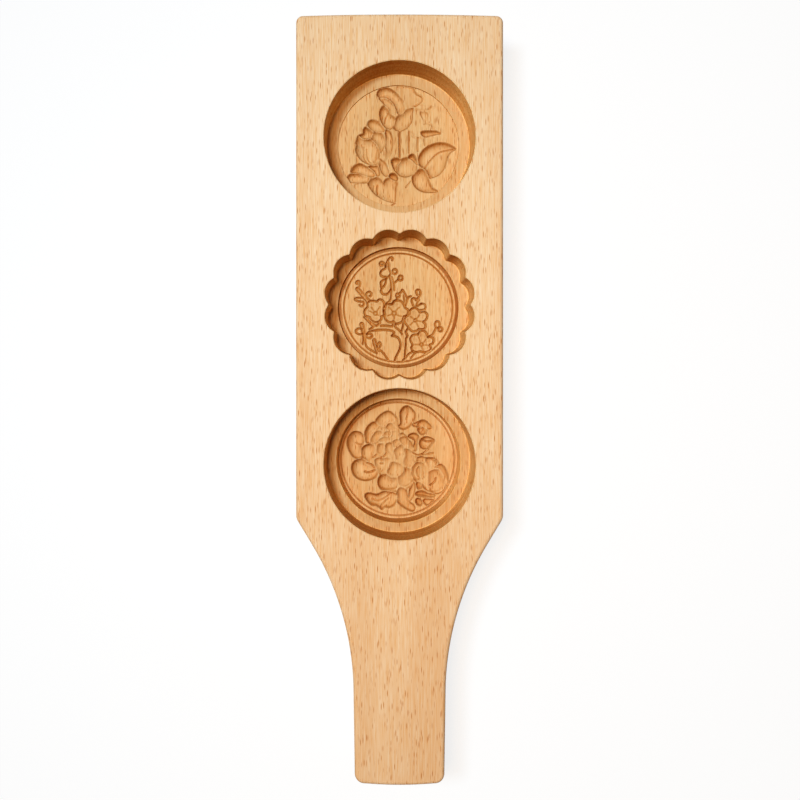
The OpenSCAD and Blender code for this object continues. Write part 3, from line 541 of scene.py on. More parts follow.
def paddle_arcs(board):
    """Arcs of the paddle's outline: the left half down from the head's end, then its mirror image."""
    head_half, head_end, _ = BOARD_HIGH
    grip_half = board.grip_width / 2
    head_slope, head_crown = crown(board, head_half, board.head_corner)
    grip_slope, grip_crown = crown(board, grip_half, board.grip_corner)
    side = math.radians(270)
    head_way = math.pi + head_slope
    shoulder_way = side + board.shoulder_angle
    grip_way = side + board.grip_taper
    end_way = 2 * math.pi - grip_slope
    head_centre = (0, head_end - head_crown)
    grip_centre = (0, grip_crown - head_end)
    head_apex = (0, head_centre[1] + head_crown / math.cos(head_slope))
    grip_apex = (0, grip_centre[1] - grip_crown / math.cos(grip_slope))
    head_at = meet(head_apex, head_way, (-head_half, 0), side)
    shoulder_at = (-head_half, middle_y(PEONY_BOX) - board.shoulder_drop)
    grip_at = meet(grip_apex, end_way, (-grip_half, -head_end), grip_way)
    neck_at = meet(shoulder_at, shoulder_way, grip_at, grip_way)
    left = [
        (head_centre, head_crown, math.pi / 2, math.pi / 2 + head_slope, CROWN_STEPS, 1),
        corner_arc(head_at, head_way, side, board.head_corner, CORNER_STEPS),
        corner_arc(shoulder_at, side, shoulder_way, board.shoulder_round, SHOULDER_STEPS),
        corner_arc(neck_at, shoulder_way, grip_way, board.neck_radius, NECK_STEPS),
        corner_arc(grip_at, grip_way, end_way, board.grip_corner, CORNER_STEPS),
        (grip_centre, grip_crown, side - grip_slope, side, CROWN_STEPS, 1),
    ]
    right = [
        ((-c[0], c[1]), r, math.pi - end, math.pi - start, steps, bend)
        for c, r, start, end, steps, bend in reversed(left)
    ]
    return left, right


def paddle_ring(arcs, inset):
    """One closed ring round the paddle, without the doubled points on the middle line."""
    left, right = (follow(half, inset, gaps=True) for half in arcs)
    return np.vstack([left[0], right[0][1:-1]]), np.vstack([left[1], right[1][1:-1]])


def circle_arcs(radius):
    return [((0, 0), radius, 0, 2 * math.pi, CIRCLE_STEPS, 1)]


def scallop_arcs(radius, board):
    """Arcs round a ring of lobes, with a small arc in each cusp."""
    pitch = 2 * math.pi / board.lobe_count
    ring = radius - board.lobe_radius
    reach = math.sqrt((board.lobe_radius + board.cusp_round) ** 2 - (ring * math.sin(pitch / 2)) ** 2)
    cusp_at = ring * math.cos(pitch / 2) + reach
    arcs = []
    for i in range(board.lobe_count):
        lobe = (i + 0.5) * pitch
        cusp = (i + 1) * pitch
        lobe_at = (ring * math.cos(lobe), ring * math.sin(lobe))
        cusp_centre = (cusp_at * math.cos(cusp), cusp_at * math.sin(cusp))
        out = math.atan2(cusp_centre[1] - lobe_at[1], cusp_centre[0] - lobe_at[0])
        half = math.remainder(out - lobe, 2 * math.pi)
        arcs.append((lobe_at, board.lobe_radius, lobe - half, lobe + half, LOBE_STEPS, 1))
        turned = (lobe + half + math.pi, 2 * cusp - lobe - half + math.pi)
        arcs.append((cusp_centre, board.cusp_round, *turned, CUSP_STEPS, -1))
    return arcs


# Mesh building

# The arris finish is a paler beech along the hollows' rims: a painted highlight.
SANDED, WALL, FLOOR, ARRIS_HIGHLIGHT = range(4)

# By how far its normal points up, a band of a hollow is floor or, within this reach of the face, arris, whose
# paler beech is a painted highlight on the rims.
FLOOR_LIFT, ARRIS_HIGHLIGHT_LIFT, ARRIS_HIGHLIGHT_REACH = 0.96, 0.12, 0.8 * MM

# Radii on the pocket's edge and foot, on the edge of the stepped hollow's shelf, and at the foot of its step.
POCKET_ROUND, SHELF_ROUND, STEP_ROUND = 0.15 * MM, 0.3 * MM, 0.1 * MM

# The step's wall has this many times the draft of the hollows' walls.
STEP_DRAFT = 2

# Runs of a hollow's profile past its rim and under its medallion, and how far outside the pocket the scallops
# give way to a circle.
RIM_RUN, POCKET_RUN, ROUND_BEFORE = 1 * MM, 2 * MM, 0.5 * MM


def smooth_piece(name, points, faces, materials):
    """Makes a smooth object of the faces and puts it in the scene."""
    mesh = bpy.data.meshes.new(name)
    mesh.from_pydata(points, [], faces)
    mesh.validate()
    for material in materials:
        mesh.materials.append(material)
    mesh.polygons.foreach_set("use_smooth", [True] * len(mesh.polygons))
    piece = bpy.data.objects.new(name, mesh)
    bpy.context.scene.collection.objects.link(piece)
    return piece


class Skin:
    """Collects rings of points and the faces between them, with a normal for each point."""

    def __init__(self):
        self.points, self.normals, self.faces, self.finishes = [], [], [], []

    def ring(self, points, outward, level):
        """Adds a closed ring at a level of inset, height and normal, and returns its first index."""
        _, height, tilt, lift = level
        first = len(self.points)
        for p, n in zip(points, outward):
            self.points.append((p[0], p[1], height))
            self.normals.append((-tilt * n[0], -tilt * n[1], lift))
        return first

    def loft(self, rings, finishes):
        """Adds rings and the bands between them. Returns the first index and the size of both end rings."""
        firsts = [self.ring(*ring) for ring in rings]
        size = len(rings[0][0])
        for a, b, finish in zip(firsts, firsts[1:], finishes):
            for i in range(size):
                j = (i + 1) % size
                self.faces.append((a + i, a + j, b + j, b + i))
                self.finishes.append(finish)
        return (firsts[0], size), (firsts[-1], size)

    def fill(self, rings, up, finish):
        """Fills the flat area inside the first ring of (first index, size) and outside the others."""
        loops = [[Vector(self.points[first + i]) for i in range(size)] for first, size in rings]
        order = [first + i for first, size in rings for i in range(size)]
        flat = np.array([self.points[i][:2] for i in order])
        for a, b, c in tessellate_polygon(loops):
            d, e = flat[b] - flat[a], flat[c] - flat[a]
            if (d[0] * e[1] - d[1] * e[0] > 0) != up:
                b, c = c, b
            self.faces.append((order[a], order[b], order[c]))
            self.finishes.append(finish)

    def piece(self, name, materials):
        """Makes the object, with its own normals."""
        piece = smooth_piece(name, self.points, self.faces, materials)
        piece.data.polygons.foreach_set("material_index", self.finishes)
        piece.data.normals_split_custom_set_from_vertices(self.normals)
        return piece


def finish_of(level, after):
    """Which finish a band of a hollow takes, from its slope and its height below the face."""
    lift = (level[3] + after[3]) / 2
    if lift > FLOOR_LIFT:
        return FLOOR
    # Sloped bands next to the face take the arris finish, a painted highlight.
    if lift > ARRIS_HIGHLIGHT_LIFT and FACE - after[1] < ARRIS_HIGHLIGHT_REACH:
        return ARRIS_HIGHLIGHT
    return WALL


class MOULD_OT_board(bpy.types.Operator):
    """Builds the paddle board with its three hollows"""

    bl_idname = "mould.board"
    bl_label = "Paddle board"

    def execute(self, context):
        board = context.scene.mould_board
        skin = Skin()
        arcs = paddle_arcs(board)
        reach = 2 * board.edge_round
        corners = ((reach, 0), (0, 0), (0, FACE), (reach, FACE))
        edge = rounded(corners, (board.edge_round,) * 2, EDGE_STEPS)[1:-1]
        rings = [(*paddle_ring(arcs, level[0]), level) for level in edge]
        back, front = skin.loft(rings, [SANDED] * len(edge))
        skin.fill([back], False, SANDED)
        circle = circle_arcs(board.hollow_width / 2)
        scallops = scallop_arcs(board.hollow_width / 2, board)
        rims = [
            self.hollow(skin, board, TULIP_BOX, board.plain_depth, circle),
            self.hollow(skin, board, PLUM_BOX, board.scalloped_depth, scallops),
            self.hollow(skin, board, PEONY_BOX, board.stepped_depth, circle, stepped=True),
        ]
        skin.fill([front] + rims, True, SANDED)
        piece = skin.piece("carved_board", board_finishes(context.scene.mould_wood))
        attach(piece, "root")
        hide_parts("mould_board")
        return {"FINISHED"}

    def hollow(self, skin, board, medallion, depth, arcs, stepped=False):
        """Sinks a hollow with its medallion's pocket, a step deeper if asked. Returns its rim."""
        low, high = medallion[0][2], medallion[1][2]
        radius = board.hollow_width / 2
        pocket = radius - (half_width(medallion) + board.glue_line)
        floor = FACE - depth
        corners = [(-RIM_RUN, FACE), (0, FACE), (depth * math.tan(board.wall_draft), floor)]
        radii = [board.rim_round, board.foot_round]
        if stepped:
            step = pocket - (floor - high) * math.tan(STEP_DRAFT * board.wall_draft)
            corners += [(step, floor), (pocket, high)]
            radii += [SHELF_ROUND, STEP_ROUND]
        else:
            corners.append((pocket, floor))
            radii.append(POCKET_ROUND)
        corners += [(pocket, low), (pocket + POCKET_RUN, low)]
        radii.append(POCKET_ROUND)
        levels = rounded(corners, radii, HOLLOW_STEPS)[1:]
        rings = []
        for level in levels:
            points, outward = follow(arcs, level[0])
            if level[0] >= pocket - ROUND_BEFORE:
                outward = points / np.linalg.norm(points, axis=1)[:, None]
                points = outward * (radius - level[0])
            rings.append((points + (0, middle_y(medallion)), outward, level))
        rim, bottom = skin.loft(rings, [finish_of(a, b) for a, b in zip(levels, levels[1:])])
        skin.fill([bottom], True, FLOOR)
        return rim


# Carving

# Stands in for a length of nothing in a division.
TINY = 1e-12

# A scoop without a direction to run out in rises this way, in degrees: to the lower right.
RISE_WAY = -45

# A scoop's bowl ends at this multiple of its reach, with this curve, and its edge blends in over this width.
BOWL_REACH, BOWL_CURVE, EDGE_BLEND = 1.5, 2.5, 0.3

# Share of its depth that a scoop that runs out has right at its edge, and the curve along which it runs out.
RUN_OUT_LIP, RUN_OUT_CURVE = 0.6, 1.5

# The plum's petals are scoops of this depth and reach, and its twigs are lines of one width.
PETAL_SCOOP = (0.35, 1.6)
TWIG_WIDTH = 0.7

# Width and depth of the plum's other grooves.
BUD_CUT, OUTLINE_CUT, EYE_CUT, VEIN_CUT = (0.7, 0.6), (0.75, 0.8), (0.6, 0.3), (0.6, 0.2)

# The peony is cut this many times as deep as its scoops say.
PEONY_DEPTH = 1.3

# Rounds of averaging that take the sharpness off a motif.
SOFTENING = 2

# Cut fibres show darker, and the same mark paints shade. A slope counts with this share, in full at this
# tilt.
# So does a point below its surroundings, as painted shade in the recesses: its share, the drop that counts in
# full, and the rounds of averaging that give them.
STEEP_SHARE, STEEP_TILT = 0.5, 0.35
RECESS_SHADE_DROPS = ((0.6, 0.3 * MM, 26), (0.6, 0.07 * MM, 7))


def curve_through(points, closed, steps=8):
    """Smooth curve through the points (a Catmull-Rom spline)."""
    p = np.asarray(points, float)
    if closed:
        a, b, c, d = np.roll(p, 1, 0), p, np.roll(p, -1, 0), np.roll(p, -2, 0)
    else:
        ends = np.vstack([2 * p[0] - p[1], p, 2 * p[-1] - p[-2]])
        a, b, c, d = ends[:-3], ends[1:-2], ends[2:-1], ends[3:]
    t = np.linspace(0, 1, steps, endpoint=False)[None, :, None]
    a, b, c, d = (v[:, None, :] for v in (a, b, c, d))
    cubic = 2 * b + (c - a) * t + (2 * a - 5 * b + 4 * c - d) * t**2 + (3 * b - a - 3 * c + d) * t**3
    curve = 0.5 * cubic.reshape(-1, 2)
    return curve if closed else np.vstack([curve, p[-1]])


def distance_to(spots, curve, closed):
    """Distance from each spot to a curve; for a closed one, positive inside and negative outside."""
    a = curve if closed else curve[:-1]
    b = np.roll(curve, -1, 0) if closed else curve[1:]
    d = b - a
    x = spots[:, :1] - a[:, 0]
    y = spots[:, 1:] - a[:, 1]
    t = np.clip((x * d[:, 0] + y * d[:, 1]) / np.maximum((d**2).sum(1), TINY), 0, 1)
    away = np.sqrt(((x - t * d[:, 0]) ** 2 + (y - t * d[:, 1]) ** 2).min(1))
    if not closed:
        return away
    spans = (a[:, 1] > spots[:, 1:]) != (b[:, 1] > spots[:, 1:])
    rise = np.where(d[:, 1] == 0, TINY, d[:, 1])
    crossings = (spans & (x < y * d[:, 0] / rise)).sum(1)
    return np.where(crossings % 2 == 1, away, -away)


def near(spots, curve, margin):
    """Indices of the spots in the curve's box, made larger by a margin."""
    low, high = curve.min(0) - margin, curve.max(0) + margin
    return np.nonzero(((spots > low) & (spots < high)).all(1))[0]


def ease(t):
    t = np.clip(t, 0, 1)
    return t * t * (3 - 2 * t)


def scoop_out(depth, spots, scoops, spread, lip, far_lip, lean=0.35):
    """Cuts scoops one over another, each wider by spread than its outline.

    A scoop drops to the share lip of its depth at its upper left edge and to far_lip at its lower right, and
    loses the share lean of its depth on the way. One with a direction runs out to nothing that way instead.
    """
    for deepest, bowl, points, *run_out in scoops:
        curve = curve_through(points, True)
        index = near(spots, curve, spread)
        away = distance_to(spots[index], curve, True) + spread
        turn = math.radians(run_out[0] if run_out else RISE_WAY)
        way = np.array((math.cos(turn), math.sin(turn)))
        ends = curve @ way
        along = np.clip((spots[index] @ way - ends.min()) / np.ptp(ends), 0, 1)
        fade = 1 - along**RUN_OUT_CURVE if run_out else 1 - lean * along
        steep = RUN_OUT_LIP if run_out else lip + (far_lip - lip) * along
        slope = 1 - (1 - np.clip(away / (BOWL_REACH * bowl), 0, 1)) ** BOWL_CURVE
        cut = deepest * (steep + (1 - steep) * slope)
        blend = ease(away / EDGE_BLEND)
        depth[index] = depth[index] * (1 - blend) + cut * fade * blend


def groove(depth, spots, lines):
    """Cuts narrow rounded grooves along the lines."""
    for width, deepest, points in lines:
        curve = curve_through(points, False)
        index = near(spots, curve, width)
        away = distance_to(spots[index], curve, False)
        depth[index] += deepest * np.clip(1 - (2 * away / width) ** 2, 0, 1)


def loop(x, y, wide, high, points=12):
    """Points of a closed ellipse, the first one repeated at the end."""
    a = np.linspace(0, 2 * math.pi, points + 1)
    return list(zip(x + wide * np.cos(a), y + high * np.sin(a)))


def tulip_relief(spots):
    depth = np.zeros(len(spots))
    scoop_out(depth, spots, TULIP_SCOOPS, spread=0.1, lip=0.2, far_lip=0.42)
    groove(depth, spots, TULIP_LINES)
    return depth


def plum_relief(spots):
    depth = np.zeros(len(spots))
    petals = [(*PETAL_SCOOP, outline) for outline in PLUM_BLOSSOMS]
    scoop_out(depth, spots, petals, spread=0, lip=0, far_lip=0, lean=0.2)
    groove(depth, spots, [(TWIG_WIDTH, *line) for line in PLUM_LINES])
    for cut, curves in (
            (BUD_CUT, [loop(*bud) for bud in PLUM_BUDS]),
            (OUTLINE_CUT, [outline + outline[:1] for outline in PLUM_BLOSSOMS]),
            (EYE_CUT, [loop(*eye) for eye in PLUM_EYES]),
            (VEIN_CUT, PLUM_VEINS)):
        groove(depth, spots, [(*cut, curve) for curve in curves])
    return depth


def peony_relief(spots):
    depth = np.zeros(len(spots))
    scoop_out(depth, spots, PEONY_SCOOPS, spread=0.25, lip=0.22, far_lip=0.6)
    groove(depth, spots, PEONY_LINES)
    return PEONY_DEPTH * depth


def disc_grid(carving, radius):
    """Square grid bent to a disc: rings of even spacing, then finer ones in the border."""
    field = np.linspace(0, radius - carving.border_width, carving.rings + 1)
    border = np.linspace(radius - carving.border_width, radius, carving.border_rings + 1)
    radii = np.concatenate([field, border[1:]])
    n = len(radii) - 1
    u, v = np.meshgrid(np.arange(-n, n + 1), np.arange(-n, n + 1))
    ring = np.maximum(np.abs(u), np.abs(v))
    safe = np.maximum(ring, 1)
    wide = np.abs(u) >= np.abs(v)
    a = np.where(wide, v / safe * math.pi / 4, math.pi / 2 - u / safe * math.pi / 4)
    flip = np.where(wide, u < 0, v < 0)
    a = np.where(wide, np.where(flip, math.pi - a, a), np.where(flip, -a, a))
    r = radii[ring]
    return r * np.cos(a), r * np.sin(a)


def border_depth(carving, r, radius, bevel, bead):
    """Depth of the border: a bevel or a small chamfer, and a fine groove inside the bead if there is one."""
    wide, deep = bevel or (carving.edge_chamfer, carving.edge_chamfer)
    depth = np.clip((r - radius + wide) / wide, 0, 1) * deep
    if bead:
        groove_at = radius - wide - bead - carving.bead_groove / 2
        fine = np.clip(1 - np.abs(r - groove_at) / (carving.bead_groove / 2), 0, 1)
        depth = np.maximum(depth, fine * carving.bead_groove_depth)
    return depth


def blurred(values, rounds):
    """A grid of values, averaged with their neighbours in each round."""
    for _ in range(rounds):
        wide = np.pad(values, 1, mode="edge")
        around = wide[:-2, 1:-1] + wide[2:, 1:-1] + wide[1:-1, :-2] + wide[1:-1, 2:]
        values = (2 * values + around) / 6
    return values


def mark_cuts_and_shade(mesh, depth, cut_and_shade_strength):
    """Marks each carved point for darkening: steep slopes for darker cut fibres with painted shade, recesses
    for painted shade.
    """
    normals = np.empty(3 * len(mesh.vertices))
    mesh.vertex_normals.foreach_get("vector", normals)
    cut = STEEP_SHARE * np.clip((1 - normals[2::3][:depth.size]) / STEEP_TILT, 0, 1)
    # Points below their surroundings: painted shade in the recesses.
    for share, drop, rounds in RECESS_SHADE_DROPS:
        cut += share * np.clip((depth - blurred(depth, rounds)).ravel() / drop, 0, 1)
    marks = np.zeros(len(mesh.vertices))
    marks[:depth.size] = np.clip(cut_and_shade_strength * cut, 0, 1)
    mesh.attributes.new("cut", "FLOAT", "POINT").data.foreach_set("value", marks)


def carve_medallion(name, node, relief, bevel, bead, cut_and_shade_strength, material):
    """Carves one medallion as a closed disc in the place of its node.

    The border has a bevel of a width and a depth, or None, and a bead of a width, or 0.
    """
    carving = bpy.context.scene.mould_carving
    low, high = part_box(node)
    radius, y = half_width((low, high)), middle_y((low, high))
    gx, gy = disc_grid(carving, radius)
    spots = np.column_stack([gx.ravel(), gy.ravel()]) * (LAYOUT_R / radius)
    r = np.hypot(gx, gy).ravel()
    field = radius - (bevel[0] if bevel else 0) - (bead + carving.bead_groove if bead else 0)
    motif = blurred(relief(spots).reshape(gx.shape), SOFTENING).ravel()
    depth = np.where(r < field, motif * carving.depth * MM, 0)
    depth = np.maximum(depth, border_depth(carving, r, radius, bevel, bead))
    points = np.column_stack([gx.ravel(), gy.ravel() + y, high[2] - depth])
    index = np.arange(gx.size).reshape(gx.shape)
    quads = np.column_stack([
        index[:-1, :-1].ravel(), index[:-1, 1:].ravel(), index[1:, 1:].ravel(), index[1:, :-1].ravel()])
    rim = np.concatenate([index[0, :-1], index[:-1, -1], index[-1, :0:-1], index[:0:-1, 0]])
    foot = len(points) + np.arange(len(rim))
    points = np.vstack([points, np.column_stack([points[rim, :2], np.full(len(rim), low[2])])])
    walls = np.column_stack([rim, foot, np.roll(foot, -1), np.roll(rim, -1)])
    faces = quads.tolist() + walls.tolist() + [foot[::-1].tolist()]
    piece = smooth_piece(name, points.tolist(), faces, [material])
    mark_cuts_and_shade(piece.data, depth.reshape(gx.shape), cut_and_shade_strength)
    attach(piece, "root")
    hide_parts(node)


class MOULD_OT_medallions(bpy.types.Operator):
    """Carves the three flower medallions"""

    bl_idname = "mould.medallions"
    bl_label = "Carved medallions"

    def execute(self, context):
        wood, carving = context.scene.mould_wood, context.scene.mould_carving
        # Each strength scales the cut mark: darker cut fibres and painted shade in the carving's recesses.
        carve_medallion(
            "carved_tulip", "tulip_medallion", tulip_relief, bevel=None, bead=0, cut_and_shade_strength=0.5,
            material=beech("tulip_beech", wood, wood.carved, shift=(0.31, 0.13, 0.02)))
        carve_medallion(
            "carved_plum_blossom", "plum_blossom_medallion", plum_relief,
            bevel=(carving.bevel_width, carving.bevel_depth), bead=carving.bead_width, cut_and_shade_strength=1.3,
            material=beech("plum_beech", wood, wood.carved, shift=(0.57, 0.41, 0.05)))
        carve_medallion(
            "carved_peony", "peony_medallion", peony_relief, bevel=None, bead=carving.bead_width, cut_and_shade_strength=0.5,
            material=beech("peony_beech", wood, wood.carved, shift=(0.83, 0.77, 0.09)))
        return {"FINISHED"}


# Materials

# Repeats per metre of the grain's patterns, across, along and through the board.
BAND_REPEATS, FIBRE_REPEATS, LAYER_REPEATS = (70, 5, 620), (2100, 80, 500), (12, 8, 800)

# Share of its cell that a fleck takes up, and how many cells lie through the board for one across it.
FLECK_SHARE, FLECK_THROUGH = 0.75, 0.6

# Ranges that are stretched from nothing to full strength: of the patterns, of a fleck's edge and its chance,
# of how far a face looks along the board or sideways, and of the way down the board to the grip, over which
# painted shade darkens the board.
BAND_RANGE, FIBRE_RANGE, LAYER_RANGE = (0.35, 0.65), (0.3, 0.7), (0.4, 0.6)
FLECK_RANGE, CHANCE_RANGE = (0.38, 0.18), (0.25, 0.9)
END_RANGE, UPRIGHT_RANGE, GRIP_SHADE_RANGE = (0.55, 0.95), (0.9, 0.3), (0.08, -0.1)

# What each pattern multiplies the wood's red, green and blue by, at its weakest and at its strongest.
PLAIN = (1, 1, 1)
BAND_TINTS = ((1.03, 1.06, 1.09), (0.96, 0.91, 0.85))
FIBRE_TINTS = ((1.05, 1.18, 1.36), (0.95, 0.83, 0.66))
FLECK_TINTS = ((1.02, 1.06, 1.12), (0.6, 0.27, 0.0))
LAYER_TINTS = (PLAIN, (0.86, 0.76, 0.62))
# Towards the grip the board darkens: painted shade of a light that falls off along the board.
GRIP_SHADE_TINTS = (PLAIN, (0.97, 0.91, 0.86))
# The cut mark darkens steep and recessed carving: darker cut fibres and painted shade.
CUT_AND_SHADE_TINTS = (PLAIN, (0.68, 0.46, 0.21))

# The same for end grain, on the outside of the board and on the walls of the hollows. The walls' tint is
# stronger: end grain together with painted shade on the walls that face along the board.
END_TINT, WALL_END_GRAIN_AND_SHADE_TINT = (0.88, 0.77, 0.6), (0.62, 0.47, 0.3)

# Roughness between and on the fibres, and how far fibres and flecks dip, as shares of a bump of this height.
ROUGHNESS = (0.55, 0.7)
FIBRE_DIP, FLECK_DIP = -0.4, -0.6
BUMP_STRENGTH, BUMP_HEIGHT = 0.3, 0.04 * MM


def linear(c):
    """Screen colour to scene colour, by the sRGB curve."""
    return tuple(v / 12.92 if v <= 0.04045 else ((v + 0.055) / 1.055) ** 2.4 for v in c) + (1.0,)


class Nodes:
    """Short calls for building one node tree, which starts empty."""

    def __init__(self, tree):
        tree.nodes.clear()
        self.tree = tree

    def add(self, kind, inputs=(), **values):
        node = self.tree.nodes.new(kind)
        for key, value in values.items():
            setattr(node, key, value)
        for key, value in dict(inputs).items():
            if hasattr(value, "is_output"):
                self.tree.links.new(value, node.inputs[key])
            else:
                node.inputs[key].default_value = value
        return node

    def stretch(self, where, scale, shift):
        """Coordinates scaled along each axis and shifted."""
        node = self.add("ShaderNodeMapping", {"Vector": where, "Location": shift, "Scale": scale})
        return node.outputs["Vector"]

    def noise(self, where, detail, roughness):
        node = self.add("ShaderNodeTexNoise", {
            "Vector": where, "Scale": 1.0, "Detail": detail, "Roughness": roughness})
        return node.outputs["Fac"]

    def remap(self, value, old, new=(0.0, 1.0)):
        """Stretches a value from one range to another, and holds it there."""
        node = self.add("ShaderNodeMapRange", {
            "Value": value, "From Min": old[0], "From Max": old[1], "To Min": new[0], "To Max": new[1]})
        return node.outputs["Result"]

    def mix(self, factor, a, b, blend="MIX"):
        """Mixes two colours. Their sockets share names with other kinds, so they go by number."""
        node = self.add("ShaderNodeMix", {0: factor, 6: a, 7: b}, data_type="RGBA", blend_type=blend)
        return node.outputs[2]

    def math(self, operation, a, b=0.0):
        return self.add("ShaderNodeMath", {0: a, 1: b}, operation=operation).outputs["Value"]

    def parts(self, vector):
        return self.add("ShaderNodeSeparateXYZ", {"Vector": vector}).outputs


def beech(name, wood, tone, shift, end_grain_and_shade_tint=END_TINT):
    """Beech with growth bands, fine fibres and short dark flecks along the length of the board, with painted
    shade in the carving's recesses, on the walls and towards the grip.
    """
    material = bpy.data.materials.new(name)
    material.use_nodes = True
    n = Nodes(material.node_tree)
    spot = n.add("ShaderNodeTexCoord")
    where = spot.outputs["Object"]
    facing = n.parts(spot.outputs["Normal"])

    bands = n.noise(n.stretch(where, BAND_REPEATS, shift), detail=3.0, roughness=0.55)
    fibres = n.noise(n.stretch(where, FIBRE_REPEATS, shift), detail=2.0, roughness=0.6)
    layers = n.noise(n.stretch(where, LAYER_REPEATS, shift), detail=2.0, roughness=0.6)
    wide, long = FLECK_SHARE / wood.fleck_width, FLECK_SHARE / wood.fleck_length
    cells = n.stretch(where, (wide, long, FLECK_THROUGH * wide), shift)
    flecks = n.add("ShaderNodeTexVoronoi", {"Vector": cells, "Scale": 1.0, "Randomness": 0.85}, feature="F1")
    chance = n.add("ShaderNodeSeparateColor", {"Color": flecks.outputs["Color"]}).outputs["Red"]

    band = n.remap(bands, BAND_RANGE)
    fibre = n.remap(fibres, FIBRE_RANGE)
    fleck = n.math(
        "MULTIPLY", n.remap(flecks.outputs["Distance"], FLECK_RANGE), n.remap(chance, CHANCE_RANGE))
    upright = n.remap(n.math("ABSOLUTE", facing["Z"]), UPRIGHT_RANGE)
    layer = n.math("MULTIPLY", upright, n.remap(layers, LAYER_RANGE))
    end = n.remap(n.math("ABSOLUTE", facing["Y"]), END_RANGE)
    # Painted shade: the board darkens down towards the grip.
    grip_shade = n.remap(n.parts(where)["Y"], GRIP_SHADE_RANGE)
    # The cut mark: darker cut fibres and painted shade in the carving's recesses.
    cut = n.add("ShaderNodeAttribute", attribute_name="cut").outputs["Fac"]

    shade = linear(tone)
    for amount, (pale, dark) in (
            (band, BAND_TINTS), (fibre, FIBRE_TINTS), (fleck, FLECK_TINTS), (layer, LAYER_TINTS),
            (end, (PLAIN, end_grain_and_shade_tint)), (grip_shade, GRIP_SHADE_TINTS), (cut, CUT_AND_SHADE_TINTS)):
        shade = n.mix(1.0, shade, n.mix(amount, pale + (1.0,), dark + (1.0,)), "MULTIPLY")

    rough = n.remap(fibres, FIBRE_RANGE, ROUGHNESS)
    height = n.math("ADD", n.math("MULTIPLY", fibre, FIBRE_DIP), n.math("MULTIPLY", fleck, FLECK_DIP))
    bump = n.add("ShaderNodeBump", {"Height": height, "Strength": BUMP_STRENGTH, "Distance": BUMP_HEIGHT})
    surface = n.add("ShaderNodeBsdfPrincipled", {
        "Base Color": shade, "Roughness": rough, "Specular IOR Level": 0.06,
        "Normal": bump.outputs["Normal"]})
    n.add("ShaderNodeOutputMaterial", {"Surface": surface.outputs["BSDF"]})
    return material


def board_finishes(wood):
    """The board's finishes: sanded face, walls, floors and the arris's painted highlight, all in one run of
    grain.
    """
    shift = (0.0, 0.0, 0.0)
    return [
        beech("sanded_beech", wood, wood.sanded, shift),
        # The walls' end grain is darkened further as painted shade.
        beech("cut_wall_beech", wood, wood.wall, shift, WALL_END_GRAIN_AND_SHADE_TINT),
        beech("hollow_floor_beech", wood, wood.floor, shift),
        # The arris material is a painted highlight on the rims.
        beech("arris_highlight_beech", wood, wood.arris_highlight, shift),
    ]


# Studio

WHITE = (1.0, 1.0, 1.0, 1.0)

# The floor is a matt grey. Where it is looked at, part of it is replaced by a white glow of this strength.
FLOOR_GREY = (0.82, 0.82, 0.82, 1.0)
FLOOR_GLOW, GLOW_SHARE = 1.1, 0.76

# It reaches this far each way, a hair below the board's back, so that the two don't share a plane.
FLOOR_REACH, FLOOR_GAP = 2.0, 0.05 * MM

# The even light is warm. Where it is looked at, there is a white backdrop of this strength instead.
FILL_TINT = (1.0, 0.72, 0.42, 1.0)
BACKDROP = 0.842

# The near lamp is warm and the far one cool. Together they are white, and the shade by a wall, where only the
# near one reaches, is warm. Each has a name, the way that it stands from the middle of the two, and a tint.
KEY_LIGHTS = (("near_key_light", -1, (1.1, 0.76, 0.45)), ("far_key_light", 1, (0.9, 1.24, 1.55)))

# The lamps look past the grip to the lower right, so that their light is even all over the board.
KEY_AIM = Vector((0.536, -0.3, FACE))


def seen_directly(tree):
    """Starts a node tree with a factor of 1 where it is seen, also in a reflection or through glass."""
    n = Nodes(tree)
    path = n.add("ShaderNodeLightPath").outputs
    seen = n.math("MAXIMUM", path["Is Camera Ray"], path["Is Glossy Ray"])
    return n, n.math("MAXIMUM", seen, path["Is Transmission Ray"])


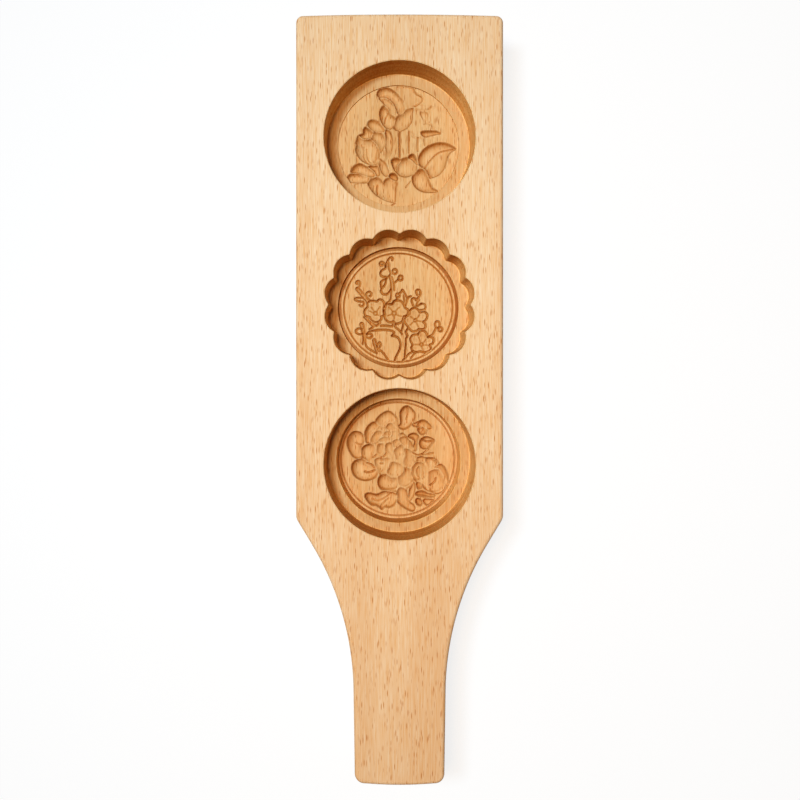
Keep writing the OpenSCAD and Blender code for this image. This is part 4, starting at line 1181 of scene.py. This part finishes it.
class MOULD_OT_studio(bpy.types.Operator):
    """Sets up the floor, the light and the camera"""

    bl_idname = "mould.studio"
    bl_label = "Studio"

    def execute(self, context):
        studio = context.scene.mould_studio
        self.floor()
        self.light(context, studio)
        self.camera(context, studio)
        context.scene.view_settings.view_transform = "Standard"
        return {"FINISHED"}

    def floor(self):
        material = bpy.data.materials.new("pale_floor")
        material.use_nodes = True
        n, seen = seen_directly(material.node_tree)
        matt = n.add("ShaderNodeBsdfDiffuse", {"Color": FLOOR_GREY})
        white = n.add("ShaderNodeEmission", {"Color": WHITE, "Strength": FLOOR_GLOW})
        share = n.math("MULTIPLY", seen, GLOW_SHARE)
        mixed = n.add("ShaderNodeMixShader", {
            0: share, 1: matt.outputs["BSDF"], 2: white.outputs["Emission"]})
        n.add("ShaderNodeOutputMaterial", {"Surface": mixed.outputs["Shader"]})
        level = CAD_BOX[0][2] - FLOOR_GAP
        corners = [(x * FLOOR_REACH, y * FLOOR_REACH, level) for x, y in ((-1, -1), (1, -1), (1, 1), (-1, 1))]
        floor = smooth_piece("pale_floor", corners, [(0, 1, 2, 3)], [material])

    def light(self, context, studio):
        world = bpy.data.worlds.new("even_light")
        world.use_nodes = True
        n, seen = seen_directly(world.node_tree)
        even = n.add("ShaderNodeBackground", {"Color": FILL_TINT, "Strength": studio.fill})
        white = n.add("ShaderNodeBackground", {"Color": WHITE, "Strength": BACKDROP})
        mixed = n.add("ShaderNodeMixShader", {
            0: seen, 1: even.outputs["Background"], 2: white.outputs["Background"]})
        n.add("ShaderNodeOutputWorld", {"Surface": mixed.outputs["Shader"]})
        context.scene.world = world
        middle = Vector((studio.key_x, studio.key_y, FACE + studio.key_height))
        out = Vector((studio.key_x, studio.key_y, 0)).normalized()
        for name, way, tint in KEY_LIGHTS:
            lamp = bpy.data.lights.new(name, "AREA")
            lamp.shape = "DISK"
            lamp.size = studio.key_size
            lamp.energy = studio.key_power / len(KEY_LIGHTS) * max(tint)
            lamp.color = [part / max(tint) for part in tint]
            key = bpy.data.objects.new(name, lamp)
            key.location = middle + way * studio.key_spread * out
            key.rotation_euler = (middle - KEY_AIM).to_track_quat("Z", "Y").to_euler()
            context.scene.collection.objects.link(key)

    def camera(self, context, studio):
        lens = bpy.data.cameras.new("camera")
        lens.sensor_width = 36
        lens.lens = lens.sensor_width * studio.camera_height / studio.view_width
        lens.shift_x = (studio.centre_x - studio.camera_x) / studio.view_width
        lens.shift_y = (studio.centre_y - studio.camera_y) / studio.view_width
        lens.clip_start = 0.01
        camera = bpy.data.objects.new("camera", lens)
        camera.location = (studio.camera_x, studio.camera_y, FACE + studio.camera_height)
        context.scene.collection.objects.link(camera)
        context.scene.camera = camera


class MOULD_PT_panel(bpy.types.Panel):
    bl_label = "Maamoul mould"
    bl_idname = "MOULD_PT_panel"
    bl_space_type = "VIEW_3D"
    bl_region_type = "UI"
    bl_category = "Mould"

    def draw(self, context):
        scene = context.scene
        groups = (
            ("mould.board", scene.mould_board), ("mould.medallions", scene.mould_carving),
            (None, scene.mould_wood), ("mould.studio", scene.mould_studio))
        for operator, settings in groups:
            box = self.layout.box()
            for key in settings.__annotations__:
                box.prop(settings, key)
            if operator:
                box.operator(operator)


GROUPS = {
    "mould_board": BoardSettings, "mould_carving": CarvingSettings,
    "mould_wood": WoodSettings, "mould_studio": StudioSettings,
}
CLASSES = (*GROUPS.values(), MOULD_OT_board, MOULD_OT_medallions, MOULD_OT_studio, MOULD_PT_panel)


def register():
    for cls in CLASSES:
        bpy.utils.register_class(cls)
    for name, group in GROUPS.items():
        setattr(bpy.types.Scene, name, PointerProperty(type=group))


def unregister():
    for name in GROUPS:
        delattr(bpy.types.Scene, name)
    for cls in reversed(CLASSES):
        bpy.utils.unregister_class(cls)


def main():
    register()
    bpy.ops.mould.board()
    bpy.ops.mould.medallions()
    bpy.ops.mould.studio()


if __name__ == "__main__":
    main()
